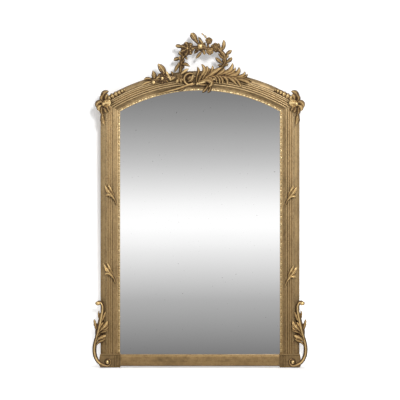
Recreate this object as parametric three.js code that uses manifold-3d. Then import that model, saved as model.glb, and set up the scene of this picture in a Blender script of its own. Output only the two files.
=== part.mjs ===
// Gilt overmantel mirror with an arched, reeded frame, a carved wreath crest and side scrolls.
//
// Millimetres. X runs to the viewer's right and Z up; the wall is the plane y = 0 and the
// front faces -Y. Inside this file every height z is counted from the underside of the feet,
// and a point is written [x, z, h], where h is its distance in front of the wall. The finished
// group is lowered by ORIGIN_ABOVE_FEET, so the part's origin is the middle of the flat back
// of the bottom rail, where the frame lies against the wall.
import * as THREE from "three";
import { mergeVertices } from "three/addons/utils/BufferGeometryUtils.js";
import Module from "manifold-3d";

// ------------------------------------------------------------------ driving dimensions
const SIGHT_HALF_WIDTH = 384; // half the width of glass that shows
const SIGHT_BOTTOM = 62; // where the glass starts to show above the bottom rail
const FACE_WIDTH = 94; // width of the stiles and of the arched rail
const ARCH_CENTRE_Z = 550; // centre of the arch's circles
const SIGHT_RADIUS = 780; // the arch at the edge of the glass
const RAIL_BOTTOM = 6; // underside of the bottom rail, above the feet
const BLOCK_TOP = 66; // height of the square foot blocks
const BLOCK_PROUD = 5; // how far a block stands out beside its stile
const ORIGIN_ABOVE_FEET = 18;

const LIP_BACK = 36; // back of the lip that the glass lies against
const GLASS_REBATE = 10.3; // width of the rebate for the glass
const BOARD_STEP = 24; // height of the second step, for the backboards
const BOARD_REBATE = 32.3; // width out to the recess wall
const BEAD_SEAT = 41; // seat of the sight bead
const BEAD_WIDTH = 9;
const REED_START = 25;
const REED_PITCH = 9.5;
const REED_COUNT = 4;
const REED_VALLEY = 51.5;
const REED_RISE = 4.5;
const FILLET_WIDTH = 5;
const FILLET_TOP = 57;
const SIDE_DEPTH = 38; // depth of the frame's outer side

const GLASS_THICKNESS = 5;
const BOARD_THICKNESS = 8;
const CROSSBAR_THICKNESS = 12;
const CROSSBAR_BOTTOM = 1095;
const CROSSBAR_HEIGHT = 70;

const GAP = 0.3; // clearance between pieces that touch
const ARC_STEP = 4; // degrees between the facets of the arch
const REED_FACETS = 3; // flat faces round one reed

// Places that follow from them.
const OUTER_HALF_WIDTH = SIGHT_HALF_WIDTH + FACE_WIDTH;
const OUTER_RADIUS = SIGHT_RADIUS + FACE_WIDTH;
const BLOCK_OUTER = OUTER_HALF_WIDTH + BLOCK_PROUD;
const archTop = (halfWidth, radius) => ARCH_CENTRE_Z + Math.sqrt(radius ** 2 - halfWidth ** 2);
const SIGHT_CORNER_Z = archTop(SIGHT_HALF_WIDTH, SIGHT_RADIUS);
const OUTER_CORNER_Z = archTop(OUTER_HALF_WIDTH, OUTER_RADIUS);
const MITRE_SLOPE = (OUTER_CORNER_Z - SIGHT_CORNER_Z) / FACE_WIDTH;
const mitreZ = (x) => SIGHT_CORNER_Z + (x - SIGHT_HALF_WIDTH) * MITRE_SLOPE;
const SIDES = { left: -1, right: 1 };

// ------------------------------------------------------------------ materials
const material = (color, roughness, metalness) =>
  new THREE.MeshStandardMaterial({ color, roughness, metalness });
const GILT = material(0xa58a5e, 0.42, 0.75);
const BRIGHT_GILT = material(0xcbab70, 0.32, 0.85);
const MIRROR = material(0xc8ccd0, 0.04, 1.0);
const PINE = material(0x8a6b48, 0.85, 0.0);
const IRON = material(0x4a4641, 0.55, 0.8);
const STEEL = material(0x77736c, 0.4, 0.9);

// ------------------------------------------------------------------ solids
const wasm = await Module();
wasm.setup();

const place = ([x, z, h]) => new THREE.Vector3(x, -h, z);

/** Closed mesh as a solid that can be joined and cut. */
function toSolid(geometry) {
  const bare = geometry.clone();
  bare.deleteAttribute("normal");
  bare.deleteAttribute("uv");
  const merged = mergeVertices(bare, 1e-4);
  return new wasm.Manifold(
    new wasm.Mesh({
      numProp: 3,
      vertProperties: Float32Array.from(merged.attributes.position.array),
      triVerts: Uint32Array.from(merged.index.array),
    }),
  );
}

/** Solid back to a flat-shaded three.js geometry. */
function toGeometry(solid) {
  const mesh = solid.getMesh();
  const geometry = new THREE.BufferGeometry();
  geometry.setAttribute("position", new THREE.BufferAttribute(mesh.vertProperties, 3));
  geometry.setIndex(new THREE.BufferAttribute(mesh.triVerts, 1));
  geometry.computeVertexNormals();
  return geometry;
}

const join = (solids) => solids.reduce((whole, piece) => whole.add(piece));

/** Straight prism: an outline in the plane of `across` and `up`, pushed along their normal. */
function prism(outline, depth, across, up, start) {
  const shape = new THREE.Shape(outline.map(([a, b]) => new THREE.Vector2(a, b)));
  const geometry = new THREE.ExtrudeGeometry(shape, { depth, bevelEnabled: false });
  const along = new THREE.Vector3().crossVectors(across, up);
  const frame = new THREE.Matrix4().makeBasis(across, up, along).setPosition(start);
  return toSolid(geometry.applyMatrix4(frame));
}

const X_AXIS = new THREE.Vector3(1, 0, 0);
const Z_AXIS = new THREE.Vector3(0, 0, 1);
const FORWARD = new THREE.Vector3(0, -1, 0);

/** Board or plate: an outline of [x, z] points standing between two distances from the wall. */
const plate = (outline, hBack, hFront) =>
  prism(outline, hFront - hBack, X_AXIS, Z_AXIS, new THREE.Vector3(0, -hBack, 0));

const rectangle = (x0, x1, z0, z1) => [[x0, z0], [x1, z0], [x1, z1], [x0, z1]];
/** The span from `inner` to `outer` on one side of the middle, smaller x first. */
const spanOn = (side, inner, outer) => (side > 0 ? [inner, outer] : [-outer, -inner]);
const box = (x0, x1, z0, z1, hBack, hFront) => plate(rectangle(x0, x1, z0, z1), hBack, hFront);

/** Upright moulding: a section of [x, h] points carried from one height to another. */
const upright = (section, zLow, zHigh) =>
  prism(section, zHigh - zLow, FORWARD, X_AXIS, new THREE.Vector3(0, 0, zLow));

/** Level moulding: a section of [h, z] points carried from -halfLength to +halfLength. */
const level = (section, halfLength) =>
  prism(section, 2 * halfLength, FORWARD, Z_AXIS, new THREE.Vector3(halfLength, 0, 0));

/** Loft through rings of points, closed by a fan at each end or joined up as a loop. */
function loft(rings, { loop = false, tip } = {}) {
  const size = rings[0].length;
  const points = rings.flat();
  const faces = [];
  const spans = loop ? rings.length : rings.length - 1;
  for (let ring = 0; ring < spans; ring++) {
    const low = ring * size;
    const high = ((ring + 1) % rings.length) * size;
    for (let i = 0; i < size; i++) {
      const j = (i + 1) % size;
      faces.push(low + i, high + i, high + j, low + i, high + j, low + j);
    }
  }
  const middle = (ring) =>
    ring.reduce((sum, point) => sum.add(point), new THREE.Vector3()).divideScalar(ring.length);
  if (!loop) {
    const first = points.push(middle(rings[0])) - 1;
    const last = points.push(tip ?? middle(rings.at(-1))) - 1;
    const end = (rings.length - 1) * size;
    for (let i = 0; i < size; i++) {
      const j = (i + 1) % size;
      faces.push(first, i, j, last, end + j, end + i);
    }
  }
  return toSolid(closedGeometry(points, faces));
}

/** Indexed geometry with its faces turned outwards. */
function closedGeometry(points, faces) {
  let volume = 0;
  for (let i = 0; i < faces.length; i += 3) {
    const [a, b, c] = [points[faces[i]], points[faces[i + 1]], points[faces[i + 2]]];
    volume += a.dot(new THREE.Vector3().crossVectors(b, c));
  }
  const geometry = new THREE.BufferGeometry().setFromPoints(points);
  geometry.setIndex(volume < 0 ? faces.reverse() : faces);
  return geometry;
}

const group = new THREE.Group();
group.position.z = -ORIGIN_ABOVE_FEET;

/** Adds one named piece to the mirror. */
function addPiece(name, solid, finish) {
  const mesh = new THREE.Mesh(toGeometry(solid), finish);
  mesh.name = name;
  group.add(mesh);
}

// ------------------------------------------------------------------ frame mouldings
// Sections are lists of [u, h]: u outwards from the edge of the glass, h from the wall.

const rebates = [
  [FACE_WIDTH, 0],
  [BOARD_REBATE, 0],
  [BOARD_REBATE, BOARD_STEP],
  [GLASS_REBATE, BOARD_STEP],
  [GLASS_REBATE, LIP_BACK],
  [0, LIP_BACK],
];

/** Stile and arch: bead seat, ogee, four reeds, a fillet and an outer face that rounds off. */
function reededSection() {
  const ogee = [0, 0.33, 0.67].map((t) => [
    BEAD_WIDTH + t * (REED_START - BEAD_WIDTH),
    44 + (REED_VALLEY - 44) * (1 - Math.cos(Math.PI * t)) / 2,
  ]);
  const reeds = [];
  for (let reed = 0; reed < REED_COUNT; reed++) {
    for (let step = 0; step < REED_FACETS; step++) {
      const turn = (Math.PI * step) / REED_FACETS;
      const u = REED_START + REED_PITCH * (reed + (1 - Math.cos(turn)) / 2);
      reeds.push([u, REED_VALLEY + REED_RISE * Math.sin(turn)]);
    }
  }
  const filletStart = REED_START + REED_PITCH * REED_COUNT;
  const cushionStart = filletStart + FILLET_WIDTH;
  const cushion = [0, 0.5, 0.8, 1].map((t) => [
    cushionStart + t * (FACE_WIDTH - cushionStart),
    SIDE_DEPTH + 14 * (1 - 0.45 * t - 0.55 * t ** 3),
  ]);
  return [
    [0, BEAD_SEAT],
    [BEAD_WIDTH, BEAD_SEAT],
    ...ogee,
    ...reeds,
    [filletStart, REED_VALLEY],
    [filletStart + 0.5, FILLET_TOP],
    [cushionStart, FILLET_TOP],
    ...cushion,
    ...rebates,
  ];
}

/** Bottom rail: top fillet, cushioned face, lower fillet. */
function railSection() {
  const depth = SIGHT_BOTTOM - RAIL_BOTTOM;
  const cushion = [0, 0.25, 0.5, 0.75, 1].map((t) => [7 + 39 * t, 50 + 3 * Math.sin(Math.PI * t)]);
  return [
    [0, 46],
    [2, 48.5],
    [6, 48.5],
    ...cushion,
    [47, 52.5],
    [51, 52.5],
    [depth, 46],
    [depth, 0],
    ...rebates.slice(1),
  ];
}

/** What the ornaments sit on: the frame's front, drawn tight over its high points. */
const seatSection = [
  [-GAP, 30],
  [-GAP, 47.4],
  [BEAD_WIDTH, 47.4],
  [REED_START, FILLET_TOP + GAP],
  [REED_START + REED_PITCH * REED_COUNT + FILLET_WIDTH + GAP, FILLET_TOP + GAP],
  [FACE_WIDTH + GAP, SIDE_DEPTH + 4],
  [FACE_WIDTH + GAP, -5],
  [FACE_WIDTH - 10, -5],
];

/** A section turned about the arch's centre, as a whole ring. */
function ringOf(section) {
  const profile = [...section, section[0]].map(
    ([u, h]) => new THREE.Vector2(SIGHT_RADIUS + u, -h),
  );
  const ring = new THREE.LatheGeometry(profile, 360 / ARC_STEP);
  return toSolid(closedGeometryOf(ring.translate(0, 0, ARCH_CENTRE_Z)));
}

/** The same geometry with its faces turned outwards. */
function closedGeometryOf(geometry) {
  const bare = geometry.clone();
  bare.deleteAttribute("normal");
  bare.deleteAttribute("uv");
  const merged = mergeVertices(bare, 1e-4);
  const points = [];
  for (let i = 0; i < merged.attributes.position.count; i++) {
    points.push(new THREE.Vector3().fromBufferAttribute(merged.attributes.position, i));
  }
  return closedGeometry(points, Array.from(merged.index.array));
}

/** Everything above the two mitres, moved up by `lift`. */
const aboveMitres = (lift) =>
  plate(
    [
      [0, mitreZ(0) + lift],
      [600, mitreZ(600) + lift],
      [600, 1700],
      [-600, 1700],
      [-600, mitreZ(600) + lift],
    ],
    -20,
    120,
  );

const sideways = (section, side) => section.map(([u, h]) => [h, side * (SIGHT_HALF_WIDTH + u)]);
const archOf = (section, lift) => ringOf(section).intersect(aboveMitres(lift));
const stileOf = (section, side, lift) =>
  upright(sideways(section, side), BLOCK_TOP + GAP, 1400).subtract(aboveMitres(lift));

/** Round hole running from one distance off the wall to another. */
function hole(x, z, radius, hBack, hFront) {
  const drill = new THREE.CylinderGeometry(radius, radius, hFront - hBack, 8);
  return toSolid(drill.translate(x, -(hBack + hFront) / 2, z));
}

// A loose key lies in a slot across each mitre.
const KEY_HALF_LENGTH = 20;
const KEY_HALF_WIDTH = 12;
const KEY_BACK = 8;
const KEY_THICKNESS = 6;

function mitreKey(side, clearance) {
  const x = SIGHT_HALF_WIDTH + 66;
  const along = new THREE.Vector2(1, MITRE_SLOPE).normalize();
  const corners = [[-1, -1], [1, -1], [1, 1], [-1, 1]].map(([a, b]) => {
    const m = a * (KEY_HALF_WIDTH + clearance);
    const n = b * (KEY_HALF_LENGTH + clearance);
    return [side * (x + m * along.x - n * along.y), mitreZ(x) + m * along.y + n * along.x];
  });
  return plate(corners, KEY_BACK - clearance, KEY_BACK + KEY_THICKNESS + clearance);
}

// A tenon under each stile, and one at each end of the bottom rail, enter the foot blocks.
const TENON_BACK = 10;
const TENON_FRONT = 30;
const stileTenon = (side, grow) => {
  const ends = spanOn(side, 430 - grow, 466 + grow);
  return box(...ends, 36 - grow, BLOCK_TOP + 2, TENON_BACK - grow, TENON_FRONT + grow);
};
const RAIL_TENON_LENGTH = 24;
const railTenon = (side, grow) => {
  const inner = SIGHT_HALF_WIDTH - 6;
  const outer = SIGHT_HALF_WIDTH - 2 + RAIL_TENON_LENGTH + grow;
  const ends = spanOn(side, inner, outer);
  return box(...ends, RAIL_BOTTOM + 6 - grow, 26 + grow, TENON_BACK - grow, TENON_FRONT + grow);
};

// Two screws at each end hold the crossbar to the stiles.
const CROSSBAR_BACK = BOARD_STEP - GAP - CROSSBAR_THICKNESS;
const crossbarScrewPlaces = [];
for (const side of [-1, 1]) {
  for (const z of [CROSSBAR_BOTTOM + 18, CROSSBAR_BOTTOM + CROSSBAR_HEIGHT - 18]) {
    crossbarScrewPlaces.push([side * (SIGHT_HALF_WIDTH + 21), z]);
  }
}

const arch = archOf(reededSection(), 0);
addPiece(
  "arched_top_rail",
  arch.subtract(join([mitreKey(-1, GAP), mitreKey(1, GAP)])),
  GILT,
);

for (const [name, side] of Object.entries(SIDES)) {
  const pilots = crossbarScrewPlaces
    .filter(([x]) => x * side > 0)
    .map(([x, z]) => hole(x, z, 2.3, BOARD_STEP - 2, 43));
  const stile = stileOf(reededSection(), side, -GAP * 1.2)
    .subtract(join([mitreKey(side, GAP), ...pilots]))
    .add(stileTenon(side, 0));
  addPiece(`${name}_stile`, stile, GILT);
  addPiece(`${name}_mitre_key`, mitreKey(side, 0), PINE);
}

const railHalfLength = SIGHT_HALF_WIDTH - 2;
const railHeights = railSection().map(([u, h]) => [h, SIGHT_BOTTOM - u]);
addPiece(
  "bottom_rail",
  join([level(railHeights, railHalfLength - GAP), railTenon(-1, 0), railTenon(1, 0)]),
  GILT,
);

// ------------------------------------------------------------------ foot blocks
const BLOCK_FACE = 56;
const BLOCK_FILLET = 58.5;
const BLOCK_FILLET_HEIGHT = 5;
const FLUTES = [387, 394, 401, 411];

for (const [name, side] of Object.entries(SIDES)) {
  const outline = [
    [railHalfLength, 0],
    [BLOCK_OUTER - 6, 0],
    [BLOCK_OUTER, 8],
    [BLOCK_OUTER, 44],
    [BLOCK_OUTER - 1.5, 54],
    [BLOCK_OUTER - 5, BLOCK_TOP],
    [railHalfLength, BLOCK_TOP],
  ];
  const mirrored = outline.map(([x, z]) => [side * x, z]);
  const filletEnds = spanOn(side, railHalfLength, BLOCK_OUTER - 4);
  const fillet = box(
    ...filletEnds, BLOCK_TOP - BLOCK_FILLET_HEIGHT, BLOCK_TOP, BLOCK_FACE - 2, BLOCK_FILLET,
  );
  const flutes = FLUTES.map((x) => {
    const groove = new THREE.CylinderGeometry(2.4, 2.4, BLOCK_TOP * 2, 8);
    return toSolid(groove.rotateX(Math.PI / 2).translate(side * x, -BLOCK_FACE, 0));
  });
  const cuts = [...flutes, stileTenon(side, GAP), railTenon(side, GAP)];
  const rebateBoard = box(
    ...spanOn(side, 370, SIGHT_HALF_WIDTH + BOARD_REBATE),
    SIGHT_BOTTOM - BOARD_REBATE, BLOCK_TOP + 10, -5, BOARD_STEP,
  );
  const rebateGlass = box(
    ...spanOn(side, 370, SIGHT_HALF_WIDTH + GLASS_REBATE),
    SIGHT_BOTTOM - GLASS_REBATE, BLOCK_TOP + 10, -5, LIP_BACK,
  );
  const block = plate(mirrored, 0, BLOCK_FACE)
    .subtract(join([...cuts, rebateBoard, rebateGlass]))
    .add(fillet);
  addPiece(`${name}_foot_block`, block, GILT);
}

// ------------------------------------------------------------------ sight beads
// Sight bead: a half-round string that swells and narrows once every 32 mm.
const BEAD_PITCH = 32;
const BEAD_FORM = [[0, 2.8], [16, 4.3]]; // [distance, half width]

/** Half-round string along a route; `route(s)` gives the middle, outward and forward of it. */
function beadString(route, length) {
  const rings = [];
  const repeats = Math.floor(length / BEAD_PITCH);
  const pitch = length / repeats;
  const ringAt = (s, half) => {
    const { middle, outward } = route(s);
    return [0, 1, 2].map((k) => {
      const turn = (Math.PI * k) / 2;
      const spot = middle.clone().addScaledVector(outward, -half * Math.cos(turn));
      return spot.addScaledVector(FORWARD, 1.35 * half * Math.sin(turn));
    });
  };
  for (let repeat = 0; repeat < repeats; repeat++) {
    for (const [distance, half] of BEAD_FORM) {
      rings.push(ringAt((repeat + distance / BEAD_PITCH) * pitch, half));
    }
  }
  rings.push(ringAt(length, BEAD_FORM[0][1]));
  return loft(rings);
}

const beadMiddle = BEAD_WIDTH / 2;
for (const [name, side] of Object.entries(SIDES)) {
  const bottom = BLOCK_TOP + 2 * GAP;
  const top = mitreZ(SIGHT_HALF_WIDTH + beadMiddle);
  const route = (s) => ({
    middle: place([side * (SIGHT_HALF_WIDTH + beadMiddle), bottom + s, BEAD_SEAT + GAP]),
    outward: X_AXIS.clone().multiplyScalar(side),
  });
  const string = beadString(route, top - bottom + 4).subtract(aboveMitres(-2 * GAP));
  addPiece(`${name}_sight_bead`, string, BRIGHT_GILT);
}
{
  const radius = SIGHT_RADIUS + beadMiddle - 2 * GAP; // clear of the facets of the rebate
  const reach = Math.asin((SIGHT_HALF_WIDTH + beadMiddle) / radius) + 0.01;
  const route = (s) => {
    const turn = s / radius - reach;
    const outward = new THREE.Vector3(Math.sin(turn), 0, Math.cos(turn));
    const centre = place([0, ARCH_CENTRE_Z, BEAD_SEAT + GAP]);
    return { middle: centre.addScaledVector(outward, radius), outward };
  };
  const string = beadString(route, 2 * reach * radius).intersect(aboveMitres(GAP));
  addPiece("arch_sight_bead", string, BRIGHT_GILT);
}

// ------------------------------------------------------------------ glass and back
/** Arched outline `grow` outside the edge of the glass, between two heights. */
function archedOutline(grow, bottom) {
  const halfWidth = SIGHT_HALF_WIDTH + grow;
  const radius = SIGHT_RADIUS + grow;
  const reach = Math.asin(halfWidth / radius);
  const steps = Math.floor(THREE.MathUtils.radToDeg(reach) / ARC_STEP);
  const turns = [reach];
  for (let step = steps; step >= -steps; step--) {
    turns.push(THREE.MathUtils.degToRad(step * ARC_STEP));
  }
  turns.push(-reach);
  const arc = turns.map((turn) => [
    radius * Math.sin(turn),
    ARCH_CENTRE_Z + radius * Math.cos(turn),
  ]);
  return [[-halfWidth, bottom], [halfWidth, bottom], ...arc];
}

const glassFront = LIP_BACK - GAP;
const glassGrow = GLASS_REBATE - 0.8;
addPiece(
  "mirror_glass",
  plate(archedOutline(glassGrow, SIGHT_BOTTOM - glassGrow), glassFront - GLASS_THICKNESS, glassFront),
  MIRROR,
);

const boardFront = BOARD_STEP - GAP;
const boardBack = boardFront - BOARD_THICKNESS;
const boardGrow = BOARD_REBATE - 0.8;
const boardHalfWidth = SIGHT_HALF_WIDTH + boardGrow;
const BOARD_NAMES = ["left", "middle", "right"];
const boardWidth = (2 * boardHalfWidth) / BOARD_NAMES.length;
BOARD_NAMES.forEach((name, index) => {
  const left = -boardHalfWidth + index * boardWidth;
  const right = left + boardWidth - (index < BOARD_NAMES.length - 1 ? 1 : 0);
  const board = box(
    left, right, SIGHT_BOTTOM - boardGrow, CROSSBAR_BOTTOM - GAP, boardBack, boardFront,
  );
  addPiece(`${name}_lower_backboard`, board, PINE);
});
addPiece(
  "upper_backboard",
  plate(
    archedOutline(boardGrow, CROSSBAR_BOTTOM + CROSSBAR_HEIGHT + GAP),
    boardBack,
    boardFront,
  ),
  PINE,
);

// Glued blocks steady the edge of the glass in front of the boards.
const BLOCK_LENGTH = 50;
const blockBack = BOARD_STEP + GAP;
const blockFront = glassFront - GLASS_THICKNESS - GAP;
const GLAZING_HEIGHTS = [320, 900];
for (const [name, side] of Object.entries(SIDES)) {
  const inner = side * (SIGHT_HALF_WIDTH + 1);
  const outer = side * (SIGHT_HALF_WIDTH + GLASS_REBATE - GAP);
  GLAZING_HEIGHTS.forEach((z, index) => {
    const wedge = [[blockBack, outer], [blockFront, outer], [blockFront, inner]];
    const heights = [z - BLOCK_LENGTH / 2, z + BLOCK_LENGTH / 2];
    addPiece(`${name}_glazing_block_${index + 1}`, upright(wedge, ...heights), PINE);
  });
}

// ------------------------------------------------------------------ crossbar and hangers
const HANGER_X = 250;
const PIN_Z = CROSSBAR_BOTTOM + 62; // axis that the rings turn about
const PIN_H = 6.9;
const WIRE_RADIUS = 2;
const STRAP_HALF_WIDTH = 8;
const STRAP_THICKNESS = 2;
const STRAP_SCREW_DROPS = [36, 50]; // below the ring's axis
const strapFront = CROSSBAR_BACK - GAP;
const strapBack = strapFront - STRAP_THICKNESS;

const strapScrewPlaces = [];
for (const side of [-1, 1]) {
  for (const drop of STRAP_SCREW_DROPS) {
    strapScrewPlaces.push([side * HANGER_X, PIN_Z - drop]);
  }
}

const crossbar = box(
  -boardHalfWidth, boardHalfWidth, CROSSBAR_BOTTOM, CROSSBAR_BOTTOM + CROSSBAR_HEIGHT,
  CROSSBAR_BACK, CROSSBAR_BACK + CROSSBAR_THICKNESS,
);
const crossbarHoles = [
  ...crossbarScrewPlaces.map(([x, z]) => hole(x, z, 2.3, 0, 30)),
  ...crossbarScrewPlaces.map(([x, z]) => hole(x, z, 4.8, 0, CROSSBAR_BACK + 2.6)),
  ...strapScrewPlaces.map(([x, z]) => hole(x, z, 2.1, 0, CROSSBAR_BACK + 11)),
];
addPiece("rear_crossbar", crossbar.subtract(join(crossbarHoles)), PINE);

/** Screw seen from behind: its head towards the wall, its shank into the wood. */
function screw(x, z, headBack, headRadius, shankRadius, headHeight, length) {
  const profile = [
    [0, headBack],
    [headRadius * 0.8, headBack],
    [headRadius, headBack + headHeight * 0.6],
    [shankRadius, headBack + headHeight],
    [shankRadius, headBack + length * 0.75],
    [0, headBack + length],
  ].map(([radius, h]) => new THREE.Vector2(radius, -h));
  return toSolid(closedGeometryOf(new THREE.LatheGeometry(profile, 8).translate(x, 0, z)));
}

crossbarScrewPlaces.forEach(([x, z], index) => {
  addPiece(`crossbar_screw_${index + 1}`, screw(x, z, CROSSBAR_BACK, 4.4, 2, 2.3, 30), STEEL);
});
strapScrewPlaces.forEach(([x, z], index) => {
  addPiece(`hanger_screw_${index + 1}`, screw(x, z, strapBack - GAP - 1.8, 4, 1.75, 1.8, 13), STEEL);
});

/** D-shaped ring of iron wire, hanging from its straight bar. */
function hangingRing(x) {
  const halfBar = 11;
  const halfRing = 14.5;
  const middles = [[-halfBar, 0], [0, 0], [halfBar, 0], [halfRing - 1, -1.6]];
  for (let step = 0; step <= 8; step++) {
    const turn = (Math.PI * step) / 8;
    middles.push([halfRing * Math.cos(turn), -5 - 19 * Math.sin(turn)]);
  }
  middles.push([-(halfRing - 1), -1.6]);
  const rings = middles.map(([across, up], index) => {
    const before = middles.at(index - 1);
    const after = middles[(index + 1) % middles.length];
    const run = new THREE.Vector3(after[0] - before[0], 0, after[1] - before[1]).normalize();
    const out = new THREE.Vector3().crossVectors(run, FORWARD);
    return [0, 1, 2, 3, 4, 5].map((k) => {
      const turn = (Math.PI * k) / 3;
      return place([x + across, PIN_Z + up, PIN_H])
        .addScaledVector(out, WIRE_RADIUS * Math.cos(turn))
        .addScaledVector(FORWARD, WIRE_RADIUS * Math.sin(turn));
    });
  });
  return loft(rings, { loop: true });
}

for (const [name, side] of Object.entries(SIDES)) {
  const x = side * HANGER_X;
  const bottom = PIN_Z - 56;
  const strapPlate = plate(
    [
      [x - STRAP_HALF_WIDTH, bottom + 4],
      [x - STRAP_HALF_WIDTH + 4, bottom],
      [x + STRAP_HALF_WIDTH - 4, bottom],
      [x + STRAP_HALF_WIDTH, bottom + 4],
      [x + STRAP_HALF_WIDTH, PIN_Z - 8],
      [x + 6, PIN_Z + 1],
      [x - 6, PIN_Z + 1],
      [x - STRAP_HALF_WIDTH, PIN_Z - 8],
    ],
    strapBack,
    strapFront,
  );
  const turned = (radius, length) =>
    toSolid(
      new THREE.CylinderGeometry(radius, radius, length, 12)
        .rotateZ(Math.PI / 2)
        .translate(x, -PIN_H, PIN_Z),
    );
  const holes = strapScrewPlaces
    .filter((spot) => spot[0] === x)
    .map((spot) => hole(...spot, 2.1, strapBack - 2, strapFront + 2));
  const strap = strapPlate
    .add(turned(3.9, 12))
    .subtract(join([turned(WIRE_RADIUS + 0.35, 40), ...holes]));
  addPiece(`${name}_hanger_strap`, strap, IRON);
  addPiece(`${name}_hanging_ring`, hangingRing(x), IRON);
}

// ------------------------------------------------------------------ carving vocabulary
const curveThrough = (route) => new THREE.CatmullRomCurve3(route.map(place));

/** Directions at a point of a spine: sideways across it, and out of its face. */
function crossways(spine, t) {
  const run = spine.getTangent(t);
  const across = new THREE.Vector3().crossVectors(run, FORWARD).normalize();
  const face = new THREE.Vector3().crossVectors(across, run).normalize();
  return { across, face };
}

/**
 * Leaf: a flat-backed section with a raised midrib, carried along a spine. Its half width is
 * width * sin(pi * t^p)^0.8, with p chosen so that it is widest at `widest` of its length; it
 * ends in a point. A narrow leaf has one ring fewer.
 */
function leaf(route, width, { widest = 0.45, thick = 4, rib = 0.3, root = 0.35 } = {}) {
  const spine = curveThrough(route);
  const power = Math.log(0.5) / Math.log(widest);
  const places = width > 7 ? [0, widest, 0.55 + 0.45 * widest] : [0, widest];
  const rings = places.map((t) => {
    const swell = Math.sin(Math.PI * t ** power) ** 0.8;
    const half = width * Math.max(swell, root * (1 - t));
    const { across, face } = crossways(spine, t);
    const middle = spine.getPoint(t).addScaledVector(face, -thick * 0.4);
    return [
      middle.clone().addScaledVector(across, -half),
      middle.clone().addScaledVector(face, half * rib + thick),
      middle.clone().addScaledVector(across, half),
    ];
  });
  return loft(rings, { tip: spine.getPoint(1) });
}

/** Stem: a round section whose radius runs evenly through `radii` along the route. */
function stem(route, radii, { sides = 5, steps = route.length + 1 } = {}) {
  const spine = curveThrough(route);
  const rings = [];
  for (let step = 0; step <= steps; step++) {
    const t = step / steps;
    const slot = Math.min(t * (radii.length - 1), radii.length - 1.0001);
    const index = Math.floor(slot);
    const radius = THREE.MathUtils.lerp(radii[index], radii[index + 1], slot - index);
    const { across, face } = crossways(spine, t);
    const ring = [];
    for (let k = 0; k < sides; k++) {
      const turn = (2 * Math.PI * k) / sides;
      ring.push(
        spine.getPoint(t)
          .addScaledVector(across, radius * Math.cos(turn))
          .addScaledVector(face, radius * Math.sin(turn)),
      );
    }
    rings.push(ring);
  }
  return loft(rings);
}

/** Bud, berry or boss: an ellipsoid with the given half sizes across, up and forward. */
function bud([x, z, h], [across, up, forward], { sides = 6, rows = 4 } = {}) {
  const ball = new THREE.SphereGeometry(1, sides, rows).rotateX(Math.PI / 2);
  ball.scale(across, forward, up).translate(x, -h, z);
  return toSolid(closedGeometryOf(ball));
}

/**
 * Open flower: one surface of rings about the flower's axis. Each ring is scalloped into
 * petals, radius * reach * (1 + notch * cos(petals * angle)), and the heart stands up again
 * inside a hollow.
 */
function flower([x, z, h], radius, { petals = 6, turn = 0, depth = 1 } = {}) {
  const form = [
    // [reach, rise, notch]
    [0.72, -0.35, 0],
    [1.0, 0.12, 0.1],
    [0.62, 0.42, 0.14],
    [0.34, 0.24, 0],
    [0.2, 0.5, 0],
  ];
  const columns = petals * 2;
  const rings = form.map(([reach, rise, notch]) => {
    const ring = [];
    for (let column = 0; column < columns; column++) {
      const angle = turn + (2 * Math.PI * column) / columns;
      const out = radius * reach * (1 + notch * (column % 2 ? -1 : 1));
      ring.push(place([
        x + out * Math.cos(angle),
        z + out * Math.sin(angle),
        h + radius * rise * depth,
      ]));
    }
    return ring;
  });
  return loft(rings);
}

// What the front ornaments are cut back to, so that each lies on the frame.
const blockSeat = (side) =>
  join([
    box(
      ...spanOn(side, railHalfLength, BLOCK_OUTER + GAP),
      -5, BLOCK_TOP + GAP, -5, BLOCK_FACE + GAP,
    ),
    box(
      ...spanOn(side, railHalfLength, BLOCK_OUTER - 4 + GAP),
      BLOCK_TOP - BLOCK_FILLET_HEIGHT - GAP, BLOCK_TOP + GAP, -5, BLOCK_FILLET + GAP,
    ),
  ]);
const stileSeat = (side) => stileOf(seatSection, side, 0).add(blockSeat(side));
const archSeat = archOf(seatSection, -1);
const behindCrest = box(-400, 400, 1300, 1700, -5, SIDE_DEPTH - 1.7);

// ------------------------------------------------------------------ side scrolls
// Written for the right side, x outwards; the left one is its mirror image.
const outwards = (side) => (route) => route.map(([x, z, h]) => [side * x, z, h]);

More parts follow.
